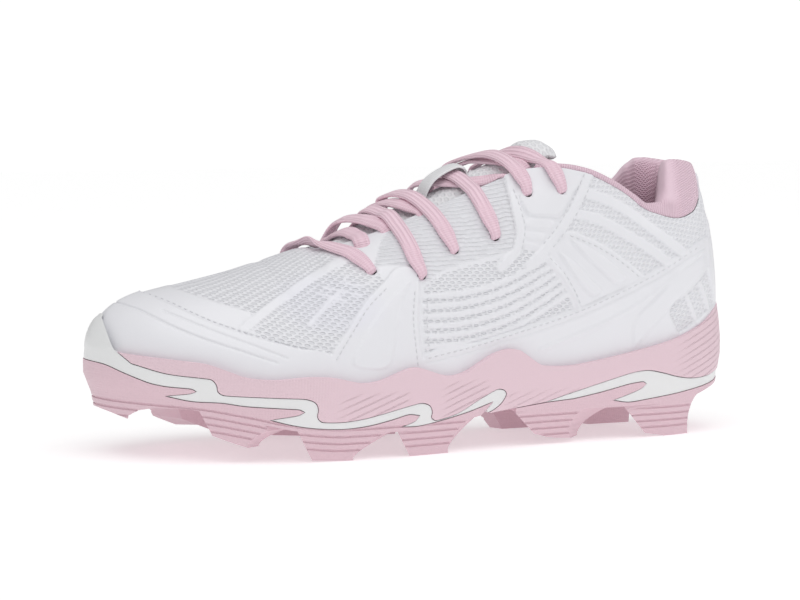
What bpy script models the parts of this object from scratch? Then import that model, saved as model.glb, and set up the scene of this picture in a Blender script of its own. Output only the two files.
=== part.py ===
"""Left softball cleat with moulded studs, built as an assembly of its own pieces.

The tables are in millimetres, with x counted from the back of the heel towards the toe, y to the
wearer's left (the outer side of this left shoe) and z up from the floor. The meshes are in metres,
with the origin on the floor under the middle of the shoe.
"""

import math

import bmesh
import bpy
import numpy as np
from mathutils import Vector
from mathutils.bvhtree import BVHTree

for old in list(bpy.data.objects):
    bpy.data.objects.remove(old, do_unlink=True)
PARTS = bpy.data.collections.new("softball_cleat")
CUTTERS = bpy.data.collections.new("cutters")
bpy.context.scene.collection.children.link(PARTS)
bpy.context.scene.collection.children.link(CUTTERS)

MM = 0.001

# Driving sizes
LENGTH = 280.0
WALL = 2.2  # the upper, with its lining
GAP = 0.3  # between pieces that meet
OVERLAY = 0.9  # an overlay's outer face above the upper
BUMPER = 3.4  # the toe bumper's outer face above the upper
FEATHER_INSET = 4.6  # from the sole's edge to the foot of the upper
INSOLE_THICK = 4.0
INSOLE_EDGE = WALL + GAP + 0.6  # from the foot of the upper to the insole
INSOLE_RINGS = (
    # distance in from the insole's edge, height above the footbed
    (9.0, 1.1),
    (0.6, 1.1),
    (0.0, INSOLE_THICK + 1.0),
    (3.0, INSOLE_THICK + 0.8),
    (9.0, INSOLE_THICK),
)
EYELET_RADIUS = 2.2
EYELET_SIDES = 8
LACE_WIDTH = 6.0
LACE_THICK = 2.0
LACE_LIFT = 3.1  # a strand's middle above what it lies on
LACE_SLACK = 1.6  # how far a strand bulges between the edges of the throat
LACE_TUCK = 0.9  # how far a strand's end dips under the one that covers it
TUCK_START = 0.55  # share of a strand's length from which it bends to that place
STRAND_POINTS = 15
STRAND_EVENING = 2  # rounds that even out a strand's height
FACING_EVENING = 3  # rounds that even out the way its flat side faces
LACE_SECTION = (
    # across and up, in half widths and half thicknesses
    (1.0, 0.0),
    (0.65, 1.0),
    (-0.65, 1.0),
    (-1.0, 0.0),
    (-0.65, -1.0),
    (0.65, -1.0),
)
TOE_SWING = 12.5  # how far the toe lies to the inner side
SWING_START = 150.0  # x where it starts to

HALF_COLUMNS = 26  # columns of the upper from heel to toe, on each side
UPPER_ROWS = 9
UPPER_COLUMNS = (
    # share of the columns, share of the half outline: closer together where the edge turns
    (0.00, 0.00),
    (0.23, 0.13),
    (0.47, 0.40),
    (0.61, 0.60),
    (0.68, 0.69),
    (0.82, 0.86),
    (1.00, 1.00),
)
FORM_COLUMNS = 60
CUTTER_REACH = 70.0  # half the width of a cutter that crosses the shoe
SKY = 200.0  # height from which faces are looked for
PAST_TOE = 286.0  # x and height where cutters stop outside the shoe
PAST_HEEL = -6.0
BELOW_FLOOR = -6.0
SLIVERS = (0.004, 0.001, 0.0002)  # reaches tried when slivers are merged
SHARP_ANGLE = math.radians(35)
TIGHTEST_CORNER = 0.35  # keeps a narrow corner of an outline from running away when it is inset

OUTLINE = (
    # x, outer half width, inner half width of the sole's edge
    (3.5, 14.5, 14.5),
    (12.0, 24.5, 24.0),
    (28.0, 31.5, 30.0),
    (55.0, 34.5, 32.0),
    (95.0, 37.3, 30.5),
    (130.0, 42.0, 33.5),
    (165.0, 47.3, 41.5),
    (195.0, 48.5, 47.8),
    (225.0, 43.0, 48.2),
    (250.0, 30.5, 44.0),
    (267.0, 15.5, 36.0),
    (276.5, 1.0, 27.0),
)

FORM_LEVELS = (
    # height, inset of the sole's side from its edge
    (-8.0, 7.0),
    (0.0, 5.6),
    (14.0, 3.0),
    (24.0, 1.4),
    (33.0, 0.0),
    (40.0, 0.0),
    (48.0, 0.7),
    (60.0, 2.4),
)
SPRING_FADE = (14.0, 33.0)  # heights between which the side stops following the toe spring
TOE_SPRING = (
    # x, how far the underside rises above its level under the ball
    (-10.0, 0.0),
    (190.0, 0.0),
    (210.0, 1.8),
    (230.0, 6.0),
    (250.0, 9.4),
    (290.0, 11.5),
)
RIB_HEIGHTS = (4.2, 7.0, 9.8, 12.6)  # grooves round the studs' outer faces
RIB_DEEP = 0.6
RIB_HALF = 0.6

FOOTBED = (
    # x, height of the midsole's floor under the insole
    (0.0, 33.0),
    (60.0, 32.5),
    (90.0, 31.0),
    (120.0, 29.8),
    (150.0, 28.2),
    (180.0, 27.8),
    (208.0, 29.4),
    (225.0, 32.0),
    (240.0, 35.5),
    (255.0, 39.0),
    (265.0, 41.0),
    (280.0, 43.0),
)

UPPER_SECTIONS = (
    # share of the half outline, top edge x, half width, height, swell and rise of the side from its
    # foot, reach and drop of the side below the top edge
    (0.000, 11.2, 0.0, 111.0, 4.0, 26.0, 6.0, 26.0),
    (0.025, 11.6, 6.5, 110.5, 4.0, 26.0, 6.0, 26.0),
    (0.060, 14.6, 15.0, 102.0, 3.8, 26.0, 5.0, 24.0),
    (0.095, 21.5, 21.5, 94.5, 3.5, 26.0, 4.5, 22.0),
    (0.140, 31.0, 25.5, 92.3, 3.2, 26.0, 5.0, 20.0),
    (0.200, 44.0, 27.0, 95.2, 3.0, 26.0, 6.0, 22.0),
    (0.270, 60.0, 27.0, 105.0, 2.6, 28.0, 8.0, 26.0),
    (0.330, 76.0, 25.0, 112.2, 2.2, 28.0, 10.0, 26.0),
    (0.380, 90.0, 22.0, 114.4, 1.8, 28.0, 12.0, 22.0),
    (0.420, 101.0, 19.5, 113.4, 1.6, 28.0, 14.0, 18.0),
    (0.470, 117.0, 17.5, 107.6, 1.5, 28.0, 16.0, 14.0),
    (0.530, 137.5, 16.0, 99.6, 1.5, 27.0, 17.0, 10.0),
    (0.590, 158.0, 14.5, 91.6, 1.5, 25.0, 19.0, 8.0),
    (0.640, 175.0, 11.5, 85.2, 1.5, 23.0, 20.0, 5.0),
    (0.670, 185.0, 6.5, 82.4, 1.5, 22.0, 22.0, 1.0),
    (0.690, 190.0, 0.0, 82.2, 1.5, 21.0, 24.0, 0.0),
    (0.730, 204.0, 0.0, 78.2, 1.5, 20.0, 25.0, 0.0),
    (0.790, 222.0, 0.0, 72.8, 1.5, 18.0, 24.0, 0.0),
    (0.860, 238.0, 0.0, 69.0, 1.8, 16.0, 20.0, 0.0),
    (0.930, 250.0, 0.0, 66.4, 1.6, 14.0, 15.0, 0.0),
    (1.000, 256.0, 0.0, 65.0, 1.2, 12.0, 13.0, 0.0),
)
THROAT_END = 0.690  # share of the half outline where the lacing gap closes

COLLAR_SECTIONS = (
    # share of the half outline, height of the padded collar's top on the outer and the inner side, padding
    (0.000, 117.4, 117.4, 10.0),
    (0.050, 117.6, 117.6, 10.0),
    (0.110, 117.2, 117.2, 9.5),
    (0.150, 115.6, 115.6, 9.0),
    (0.168, 111.5, 112.0, 8.5),
    (0.186, 102.0, 106.0, 7.5),
    (0.204, 98.8, 104.0, 6.0),
    (0.235, 102.4, 106.4, 4.5),
    (0.280, 108.8, 111.4, 3.6),
    (0.320, 113.6, 114.8, 2.8),
    (0.352, 115.6, 116.2, 2.2),
)
COLLAR_BACK = WALL + GAP + 0.45  # the collar's outer face, in from the upper's
COLLAR_LIP = 0.7  # from the upper's edge up to where the collar stands over it
COLLAR_UNDERCUT = 0.1  # how much lower the lip is on its inside
COLLAR_EDGE = 0.2  # the lip's edge, in from the upper's face
COLLAR_BULGE = (0.62, 0.06, 0.9)  # share of the roll's height, its bulge as share of the stand, most of it
COLLAR_STAND = 0.5  # least height of the roll above the lip
COLLAR_TURN = (0.13, 0.24)  # shares between which every row of the table is a section
COLLAR_CLEAR = 0.01  # least share between the last two sections
COLLAR_OUTSIDE = (0.52, 0.74, 0.965)  # heights on the upper that the collar's outer face follows
COLLAR_INSIDE = (
    # height on the upper, share of the padding there, from the top down
    (0.93, 1.0),
    (0.74, 0.85),
    (0.56, 0.35),
)
COLLAR_ROLL = (
    # share of the roll's stand above the lip, share of its whole depth inwards
    (1.00, 0.16),
    (1.00, 0.55),
    (0.45, 1.02),
)

RIM = (
    # x, height of the midsole's wavy top edge, from toe to heel
    (272.6, 43.2),
    (257.0, 41.6),
    (244.0, 40.0),
    (237.0, 37.4),
    (230.0, 34.8),
    (220.0, 33.7),
    (206.0, 34.5),
    (196.0, 33.9),
    (184.0, 31.3),
    (176.0, 32.0),
    (164.0, 36.0),
    (159.0, 36.3),
    (149.0, 33.0),
    (143.0, 32.0),
    (136.0, 33.6),
    (124.0, 39.6),
    (116.5, 41.4),
    (111.0, 40.6),
    (101.0, 34.2),
    (94.0, 33.1),
    (84.0, 33.0),
    (61.0, 36.3),
    (37.0, 41.2),
    (20.0, 47.2),
    (10.0, 53.0),
    (-5.0, 57.0),
)

BAND_TOP = (
    # x, height of the white fore band's top edge with its three steps, from toe to arch
    (268.9, 39.2),
    (258.0, 35.8),
    (243.2, 34.0),
    (241.2, 31.8),
    (240.4, 29.0),
    (238.4, 27.6),
    (222.0, 26.6),
    (207.5, 25.7),
    (203.6, 24.0),
    (202.4, 21.2),
    (202.6, 18.4),
    (200.8, 16.3),
    (192.0, 15.8),
    (181.0, 17.0),
    (163.0, 20.8),
    (157.2, 21.6),
    (153.4, 20.2),
    (152.2, 17.6),
    (152.4, 15.4),
    (150.4, 14.0),
    (140.0, 16.2),
    (130.0, 21.2),
    (121.5, 25.0),
    (118.2, 24.4),
    (117.0, 22.6),
    (119.0, 19.2),
    (122.5, 16.6),
    (125.6, 15.4),
)

BAND_FOOT = (
    # x, height of the fore band's lower edge with the wedges that the outsole fills, arch to toe
    (126.0, 17.0),
    (123.2, 19.9),
    (135.0, 16.4),
    (151.0, 13.2),
    (159.0, 12.2),
    (165.8, 12.4),
    (160.0, 14.4),
    (158.0, 16.6),
    (163.0, 17.3),
    (171.0, 15.5),
    (181.0, 13.7),
    (192.0, 13.0),
    (203.0, 13.7),
    (212.0, 15.2),
    (221.0, 17.6),
    (210.2, 19.3),
    (207.8, 20.5),
    (210.0, 21.6),
    (230.5, 23.2),
    (239.0, 24.5),
    (249.0, 24.9),
    (258.0, 26.8),
    (250.0, 28.0),
    (247.8, 29.0),
    (249.6, 30.0),
    (258.0, 30.7),
    (263.5, 31.9),
    (271.5, 35.5),
    (277.0, 38.3),
    (PAST_TOE, 39.2),
)
BAND_TOE = ((PAST_TOE, 44.2), (273.0, 44.2))  # its top under the toe bumper

HEEL_BAND_TOP = (
    # x, height of the white heel band's top edge, from its point to the back
    (98.0, 18.0),
    (84.0, 21.6),
    (57.0, 28.2),
    (48.5, 28.9),
    (41.0, 27.4),
    (33.5, 25.4),
    (25.5, 24.2),
    (16.0, 24.5),
    (PAST_HEEL, 29.0),
)

HEEL_BAND_FOOT = (
    # x, height of the heel band's lower edge with its wedge, from the back to its point
    (PAST_HEEL, 24.6),
    (15.0, 20.8),
    (32.0, 18.4),
    (47.0, 16.6),
    (57.0, 15.7),
    (65.0, 17.0),
    (58.4, 18.8),
    (51.4, 21.2),
    (49.0, 23.1),
    (50.4, 24.1),
    (57.0, 23.6),
    (71.0, 20.8),
    (84.0, 18.7),
)

BASE_FORE = (
    # x, underside of the fore outsole between its studs, from toe to arch
    (PAST_TOE, 23.0),
    (277.0, 20.5),
    (270.0, 21.0),
    (250.0, 21.6),
    (230.0, 17.4),
    (210.0, 12.8),
    (190.0, 11.0),
    (165.0, 10.6),
    (150.0, 11.2),
    (128.5, 14.6),
)

BASE_HEEL = (
    # x, underside of the heel outsole between its studs, from arch to back
    (112.0, 15.0),
    (90.0, 14.4),
    (58.0, 14.0),
    (30.0, 14.8),
    (14.0, 19.0),
    (PAST_HEEL, 23.4),
)
HEEL_FRONT = ((112.0, 16.4), (98.0, 17.7))  # the heel outsole's front end, up to the white band
ARCH_FLOOR = ((113.0, 16.4), (124.0, 15.2))  # where the midsole shows under the arch

BUMPER_SIDE = (
    # x, height of the toe bumper's outline seen from the side
    (290.0, 38.0),
    (290.0, 61.0),
    (268.0, 58.4),
    (269.6, 55.0),
    (270.8, 50.0),
    (271.4, 46.0),
    (274.4, 42.0),
    (274.4, 38.0),
)

STUDS = (
    # name, front at the base, front and back at the foot, back at the base, foot height at front and
    # back, how round its hollow back is, distance of its hidden side from the middle line
    ("front", 249.0, 243.5, 222.8, 210.0, 11.2, 6.4, 0.55, 10.0),
    ("ball", 208.8, 203.0, 184.5, 166.0, 0.8, 0.0, 0.2, 25.0),
    ("waist", 165.5, 160.0, 141.0, 126.0, 0.0, 0.0, 0.32, 22.0),
    ("heel_front", 110.5, 100.5, 78.0, 58.5, 3.2, 2.0, 0.7, 15.0),
    ("heel_back", 57.0, 46.2, 23.0, 8.0, 0.0, 0.0, 1.0, 12.0),
)
INNER_SHIFT = {"front": 2.0, "ball": -4.0, "waist": 0.0, "heel_front": -5.0, "heel_back": 8.0}
INNER_FEET = {"heel_front": (0.0, 0.0)}  # foot heights of a stud that stands lower on the inner side
TOE_STUD = (279.5, 276.0, 268.5, 258.0, 19.6, 16.4, 1.0)  # the same columns, for the bar across the toe
STUD_BEVEL = 5.5  # width of the bevel along a stud's hollow back, in from its outer face
STUD_SWEEP = {
    # how far the bevel sweeps forward past that face, at the foot and at the root
    "front": (19.0, 24.0),
    "ball": (4.0, 12.0),
    "waist": (4.0, 12.0),
    "heel_front": (10.0, 26.0),
    "heel_back": (4.0, 12.0),
}
STUD_RAKE = 0.42  # how far a stud's front runs back for each unit inwards
STUD_BITE = 0.4  # how far a stud's back runs into the outsole
STUD_FOOT = 2.0  # least width of its foot beside the bevel
STUD_DRAFT = 0.28  # how much a stud's hidden side leans in for each unit of depth
STUD_ROOT = 45.0  # height above the outsole from which a stud's block is drawn
STUD_DEPTH = 22.0  # height at which its hidden side starts to lean in
STUD_ARC = 4  # facets of a stud's hollow back
SLAB_TOP = 50.0  # height above the outsole to which its slab is drawn
SLAB_REACH = 8.0  # how far it is drawn behind its end

EYELETS = (
    # x and height of each lace hole on the outer side and on the inner side, from toe to top
    (173.0, 74.5, 190.0, 71.5),
    (153.0, 72.5, 173.5, 73.0),
    (137.5, 82.0, 157.5, 77.5),
    (118.5, 87.0, 139.0, 84.0),
    (101.5, 104.0, 121.5, 94.0),
    (86.5, 105.0, 104.0, 102.5),
)
STRAND_ENDS = {
    # where a strand goes under another, seen from above: how far in front of its own hole, distance across
    1: (6.5, -5.0),
    -1: (-13.5, 13.0),
}
TOP_BEND = (99.0, -2.0)  # where the top bar passes in front of the tongue's padded top
UNDER_BAR = ((175.0, -7.0), (172.5, 18.0))  # ends of the strand under the first bar, seen from above

TONGUE_SECTIONS = (
    # x, crown height, half width, drop at its edges, thickness
    (196.0, 73.0, 13.0, 5.0, 2.5),
    (182.0, 81.0, 17.0, 7.5, 3.0),
    (165.0, 89.6, 20.0, 10.5, 3.5),
    (148.0, 97.2, 22.0, 12.5, 4.0),
    (132.0, 103.6, 21.6, 12.5, 4.5),
    (117.0, 109.4, 21.0, 12.0, 5.0),
    (106.0, 113.8, 19.6, 11.0, 5.5),
    (98.5, 117.2, 17.4, 9.5, 6.0),
    (94.0, 121.8, 16.0, 9.0, 6.5),
    (90.0, 124.8, 15.0, 8.5, 6.5),
    (85.0, 125.2, 13.5, 8.0, 5.5),
    (80.5, 122.6, 12.5, 7.5, 3.5),
)
TONGUE_ACROSS = 10
TONGUE_THINNING = 0.6  # share of its thickness lost at its edges
LOOP = (
    # x, height above the tongue's crown of the lace loop sewn on the tongue
    (139.6, 0.9),
    (138.2, 4.6),
    (135.0, 8.0),
    (129.5, 9.2),
    (124.0, 8.6),
    (120.8, 6.0),
    (119.8, 2.6),
    (119.3, 0.9),
)
LOOP_WIDTH = 11.0
LOOP_THICK = 1.0
LOOP_SAG = 1.0  # at its edges
LOOP_ACROSS = 5

OVERLAYS = {
    # outlines seen from the side, x and height
    "toe_cap": (
        (272.2, 44.2),
        (270.8, 46.0),
        (270.2, 50.0),
        (269.0, 54.8),
        (267.2, 58.8),
        (290.0, 61.6),
        (290.0, 66.5),
        (262.0, 65.0),
        (257.0, 63.6),
        (250.0, 61.0),
        (232.0, 54.5),
        (214.0, 48.5),
        (197.0, 44.0),
        (186.0, 41.5),
        (184.0, 33.0),
        (204.0, 35.4),
        (220.0, 34.7),
        (230.0, 36.2),
        (238.0, 39.0),
        (245.0, 41.2),
        (258.0, 42.8),
    ),
    "saddle": (
        (184.5, 42.0),
        (176.0, 51.0),
        (166.0, 62.0),
        (161.0, 68.5),
        (147.4, 68.5),
        (150.5, 50.0),
        (152.0, 36.2),
        (159.0, 37.6),
        (164.5, 37.3),
        (176.0, 33.4),
        (182.5, 32.8),
    ),
    "eyestay": (
        (105.0, 107.0),
        (102.5, 110.4),
        (98.0, 112.0),
        (90.0, 112.4),
        (77.5, 110.0),
        (82.5, 101.0),
        (87.5, 94.2),
        (102.0, 94.0),
        (104.0, 97.0),
    ),
    "counter": (
        (141.0, 34.0),
        (124.0, 46.0),
        (100.0, 55.0),
        (70.0, 66.0),
        (40.0, 79.0),
        (16.0, 90.0),
        (12.0, 82.0),
        (26.0, 70.0),
        (40.0, 56.0),
        (52.0, 40.0),
        (61.0, 37.6),
        (84.0, 34.2),
        (94.0, 34.3),
        (101.0, 35.6),
        (110.6, 41.8),
        (116.5, 42.6),
        (125.0, 40.8),
        (136.5, 34.8),
    ),
}
EYESTAY_SHIFT = (18.5, -10.5)  # x and height: the inner eyestay lies round its own two holes
OVERLAY_PART = 1.0  # from the middle line to where the overlays of one side stop
STAY_REACH = (-10.0, 19.0)  # x between which the back stay is cut
STAY = (
    # y, height of the back stay's outline seen from behind
    (-9.0, 58.5),
    (9.0, 58.5),
    (6.0, 80.0),
    (5.0, 109.5),
    (-5.0, 109.5),
    (-6.0, 80.0),
)

COLOURS = {
    # name: red, green, blue, roughness
    "white_upper": (0.86, 0.86, 0.88, 0.55),
    "white_overlay": (0.88, 0.88, 0.90, 0.42),
    "white_band": (0.84, 0.86, 0.86, 0.38),
    "pink_foam": (0.84, 0.62, 0.68, 0.55),
    "pink_rubber": (0.80, 0.57, 0.64, 0.50),
    "pink_lining": (0.86, 0.60, 0.68, 0.80),
    "pink_lace": (0.88, 0.62, 0.69, 0.75),
    "white_mesh": (0.86, 0.86, 0.87, 0.80),
}


# Curves through tables


def hermite(knots, values, slopes, at):
    """Values of a piecewise cubic with the given slopes at its knots."""
    at = np.clip(at, knots[0], knots[-1])
    i = np.clip(np.searchsorted(knots, at, side="right") - 1, 0, len(knots) - 2)
    span = knots[i + 1] - knots[i]
    t = ((at - knots[i]) / span)[:, None]
    span = span[:, None]
    return (
        (1 + 2 * t) * (1 - t) ** 2 * values[i]
        + t * (1 - t) ** 2 * span * slopes[i]
        + t**2 * (3 - 2 * t) * values[i + 1]
        + t**2 * (t - 1) * span * slopes[i + 1]
    )


def steady_slopes(knots, values):
    """Slopes that never overshoot a table's rows."""
    step = np.diff(values, axis=0) / np.diff(knots)[:, None]
    slopes = np.zeros_like(values)
    same = step[:-1] * step[1:] > 0
    mean = 2 * step[:-1] * step[1:] / np.where(same, step[:-1] + step[1:], 1.0)
    slopes[1:-1] = np.where(same, mean, 0.0)
    slopes[0], slopes[-1] = step[0], step[-1]
    return slopes


def along_table(table, at):
    """The other columns of a table, read at values of its first column."""
    rows = np.array(sorted(table), float)
    at = np.atleast_1d(np.asarray(at, float))
    return hermite(rows[:, 0], rows[:, 1:], steady_slopes(rows[:, 0], rows[:, 1:]), at)


def closed_outline():
    """Knots, points and slopes of the sole's edge, from the heel round the outer side and back."""
    outer = [(x, wide) for x, wide, _ in OUTLINE]
    inner = [(x, -wide) for x, _, wide in reversed(OUTLINE)]
    ring = np.array([(0.0, 0.0), *outer, (LENGTH, -TOE_SWING), *inner], float)
    toe_index = len(outer) + 1
    steps = np.linalg.norm(np.roll(ring, -1, 0) - ring, axis=1)
    before, after = np.roll(steps, 1), steps
    forward = (np.roll(ring, -1, 0) - ring) / after[:, None]
    backward = (ring - np.roll(ring, 1, 0)) / before[:, None]
    weight = (before / (before + after))[:, None]
    slopes = backward * (1 - weight) + forward * weight
    knots = np.concatenate([[0.0], np.cumsum(steps)])
    share = np.interp(knots, [0.0, knots[toe_index], knots[-1]], [0.0, 1.0, 2.0])
    scale = np.gradient(knots, share)[:, None]
    return share, np.vstack([ring, ring[:1]]), np.vstack([slopes, slopes[:1]]) * scale


OUTLINE_CURVE = closed_outline()


def outline(share):
    """Points and outward normals of the sole's edge: share 0 is the heel, 1 the toe, 2 the heel."""
    step = 1e-3
    share = np.asarray(share, float)
    points = hermite(*OUTLINE_CURVE, share)
    ahead = hermite(*OUTLINE_CURVE, (share + step) % 2.0)
    behind = hermite(*OUTLINE_CURVE, (share - step) % 2.0)
    tangent = (ahead - behind) / np.linalg.norm(ahead - behind, axis=1, keepdims=True)
    return points, np.stack([-tangent[:, 1], tangent[:, 0]], 1)


def middle_line(x):
    """How far the shoe's middle line lies to the inner side."""
    t = np.clip((x - SWING_START) / (LENGTH - SWING_START), 0.0, 1.0)
    return -TOE_SWING * t * t * (3 - 2 * t)


# Meshes and objects


def make_object(name, points, faces, material=None):
    mesh = bpy.data.meshes.new(name)
    placed = (np.asarray(points, float) - (LENGTH / 2, 0.0, 0.0)) * MM
    mesh.from_pydata(placed.tolist(), [], [list(face) for face in faces])
    if material:
        mesh.materials.append(material)
    clean = bmesh.new()
    clean.from_mesh(mesh)
    bmesh.ops.remove_doubles(clean, verts=clean.verts, dist=1e-6)
    bmesh.ops.recalc_face_normals(clean, faces=clean.faces)
    clean.to_mesh(mesh)
    clean.free()
    made = bpy.data.objects.new(name, mesh)
    (PARTS if material else CUTTERS).objects.link(made)
    if not material:
        made.hide_render = True
        made.display_type = "WIRE"
    return made


def grid_faces(rows, columns, first=0, wrap=False):
    """Quads of a grid of points stored row by row."""
    across = columns if wrap else columns - 1
    return [
        (
            first + i * columns + j,
            first + i * columns + (j + 1) % columns,
            first + (i + 1) * columns + (j + 1) % columns,
            first + (i + 1) * columns + j,
        )
        for i in range(rows - 1)
        for j in range(across)
    ]


def split_quads(faces):
    """Each quad as two triangles, so that forms on the same grid bend alike."""
    return [half for a, b, c, d in faces for half in ((a, b, c), (a, c, d))]


def closed_loft(name, grid, material=None):
    """A solid from rings of points, one row to a ring, with flat ends."""
    rows, columns = grid.shape[:2]
    faces = grid_faces(rows, columns, wrap=True)
    faces.append(range(columns))
    faces.append(range((rows - 1) * columns, rows * columns))
    return make_object(name, grid.reshape(-1, 3), faces, material)


def lidded_loft(name, grid, material=None):
    """A solid from rings round the shoe, heel to heel, whose ends are closed side to side."""
    rows, columns = grid.shape[:2]
    faces = grid_faces(rows, columns, wrap=True)
    for first in (0, (rows - 1) * columns):
        faces += lid_faces(columns, first, 0, columns // 2)
    return make_object(name, grid.reshape(-1, 3), faces, material)


def lid_faces(columns, first, start, stop):
    """Quads that join the outer side's columns to the inner side's, from start to stop."""
    faces = []
    for j in range(start, stop):
        a, b = first + j, first + j + 1
        c, d = first + (columns - j - 1) % columns, first + (columns - j) % columns
        faces.append([v for k, v in enumerate((a, b, c, d)) if v not in (a, b, c, d)[:k]])
    return faces


def sheet_solid(name, top, bottom, material):
    """A solid between two grids of the same size, with its four edges closed."""
    rows, columns = top.shape[:2]
    under = rows * columns
    faces = grid_faces(rows, columns) + grid_faces(rows, columns, under)
    rim = list(range(columns))
    rim += [i * columns + columns - 1 for i in range(1, rows)]
    rim += [(rows - 1) * columns + j for j in range(columns - 2, -1, -1)]
    rim += [i * columns for i in range(rows - 2, 0, -1)]
    for a, b in zip(rim, rim[1:] + rim[:1]):
        faces.append((a, b, under + b, under + a))
    points = np.vstack([top.reshape(-1, 3), bottom.reshape(-1, 3)])
    return make_object(name, points, faces, material)


def inset_ring(ring, distance):
    """A flat ring of points moved inwards, so that neighbours keep a gap."""
    ring = np.asarray(ring, float)
    area = np.sum(ring[:, 0] * np.roll(ring[:, 1], -1) - np.roll(ring[:, 0], -1) * ring[:, 1])
    side = np.roll(ring, -1, 0) - ring
    side /= np.linalg.norm(side, axis=1, keepdims=True)
    normal = np.stack([-side[:, 1], side[:, 0]], 1) * math.copysign(1.0, area)
    corner = normal + np.roll(normal, 1, 0)
    length = np.maximum(np.sum(corner * corner, 1) / 2, TIGHTEST_CORNER)
    return ring + corner / length[:, None] * distance


def side_prism(name, ring, near=-CUTTER_REACH, far=CUTTER_REACH):
    """A cutter: an outline seen from the side, taken across the shoe from y near to y far."""
    ring = np.asarray(ring, float)
    ends = [
        np.stack([ring[:, 0], np.full(len(ring), y), ring[:, 1]], 1) for y in (near, far)
    ]
    return closed_loft(name, np.stack(ends))


def cut(body, operation, other):
    """Runs one Boolean on a part and keeps its result as the part's mesh."""
    modifier = body.modifiers.new(operation.lower(), "BOOLEAN")
    modifier.operation = operation
    modifier.solver = "EXACT"
    modifier.object = other
    graph = bpy.context.evaluated_depsgraph_get()
    mesh = bpy.data.meshes.new_from_object(body.evaluated_get(graph))
    body.modifiers.clear()
    body.data = mesh


def tidy(body):
    """Merges the slivers that a Boolean leaves, as far as the part stays closed."""
    for reach in SLIVERS:
        clean = bmesh.new()
        clean.from_mesh(body.data)
        bmesh.ops.remove_doubles(clean, verts=clean.verts, dist=reach * MM)
        bmesh.ops.dissolve_degenerate(clean, edges=clean.edges, dist=reach * MM)
        closed = all(edge.is_manifold for edge in clean.edges)
        if closed:
            clean.to_mesh(body.data)
        clean.free()
        if closed:
            break
    body.data.shade_smooth()
    body.data.set_sharp_from_angle(angle=SHARP_ANGLE)


def part_from(body, name, colour):
    """A new part that starts from a cutter's mesh."""
    mesh = body.data.copy()
    mesh.name = name
    mesh.materials.clear()
    mesh.materials.append(material(colour))
    made = bpy.data.objects.new(name, mesh)
    PARTS.objects.link(made)
    return made


def material(name):
    red, green, blue, rough = COLOURS[name]
    made = bpy.data.materials.new(name)
    made.use_nodes = True
    shader = made.node_tree.nodes["Principled BSDF"]
    shader.inputs["Base Color"].default_value = (red, green, blue, 1.0)
    shader.inputs["Roughness"].default_value = rough
    shader.inputs["Metallic"].default_value = 0.0
    return made


# The upper, from its own function


def footbed(x):
    return along_table(FOOTBED, x)[:, 0]


def upper_point(side, share, height):
    """Points of the upper's outer face: side 1 outer or -1 inner, share heel to toe, height 0 to 1."""
    share = np.asarray(share, float)
    height = np.asarray(height, float)
    ring = share if side > 0 else 2.0 - share
    edge, normal = outline(ring)
    row = along_table(UPPER_SECTIONS, share)
    ahead = along_table(UPPER_SECTIONS, np.clip(share + 0.01, 0, 1))
    behind = along_table(UPPER_SECTIONS, np.clip(share - 0.01, 0, 1))
    slope = (ahead[:, 2] - behind[:, 2]) / np.maximum(ahead[:, 0] - behind[:, 0], 1e-6)
    slope = np.where(share >= THROAT_END, slope, 0.0)
    foot_plan = edge - normal * FEATHER_INSET
    foot = np.column_stack([foot_plan, footbed(foot_plan[:, 0])])
    top = np.column_stack([row[:, 0], side * row[:, 1] + middle_line(row[:, 0]), row[:, 2]])
    swell, rise, reach, drop = row[:, 3], row[:, 4], row[:, 5], row[:, 6]
    lower = foot + np.column_stack([normal * swell[:, None], rise])
    tilt = slope * normal[:, 0] * reach - drop
    upper = top + np.column_stack([normal * reach[:, None], tilt])
    t = height[:, None]
    return (
        (1 - t) ** 3 * foot
        + 3 * t * (1 - t) ** 2 * lower
        + 3 * t**2 * (1 - t) * upper
        + t**3 * top
    )


def upper_normal(side, share, height):
    """Outward unit normals of the upper's outer face."""
    step = 2e-3
    share, height = np.asarray(share, float), np.asarray(height, float)
    high, low = np.minimum(height + step, 1.0), np.maximum(height - step, 0.0)
    front, back = np.minimum(share + step, 1.0), np.maximum(share - step, 0.0)
    up = upper_point(side, share, high) - upper_point(side, share, low)
    forward = upper_point(side, front, height) - upper_point(side, back, height)
    for end, sign in ((0.0, 1.0), (1.0, -1.0)):
        forward[np.abs(share - end) < 1e-9] = np.array((0.0, side * sign, 0.0))
    on_ridge = (np.abs(height - 1.0) < 1e-9) & (share >= THROAT_END - 1e-9) & (share < 1.0)
    up[on_ridge] = np.array((0.0, -side, 0.0))
    normal = np.cross(up, forward) * side
    return normal / np.linalg.norm(normal, axis=1, keepdims=True)


def upper_shares():
    """Columns of the upper from heel to toe."""
    return np.interp(np.linspace(0, 1, HALF_COLUMNS + 1), *zip(*UPPER_COLUMNS))


def upper_grid(offset):
    """Rings of the upper's face, moved out by offset: one row for each height, heel round to heel."""
    shares = upper_shares()
    throat = np.argmin(np.abs(shares - THROAT_END))
    shares[throat] = THROAT_END
    rings = []
    for height in np.linspace(0, 1, UPPER_ROWS):
        level = np.full(len(shares), height)
        halves = [
            upper_point(side, shares, level) + offset * upper_normal(side, shares, level)
            for side in (1, -1)
        ]
        rings.append(np.vstack([halves[0], halves[1][-2:0:-1]]))
    return np.stack(rings), int(throat)


def filled_upper(name, offset):
    """The upper's outer form with its openings closed, as a cutter."""
    grid, throat = upper_grid(offset)
    rows, columns = grid.shape[:2]
    toe = columns // 2
    faces = split_quads(grid_faces(rows, columns, wrap=True))
    faces += lid_faces(columns, 0, 0, toe)
    faces += lid_faces(columns, (rows - 1) * columns, 0, throat)
    return make_object(name, grid.reshape(-1, 3), faces)


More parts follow.
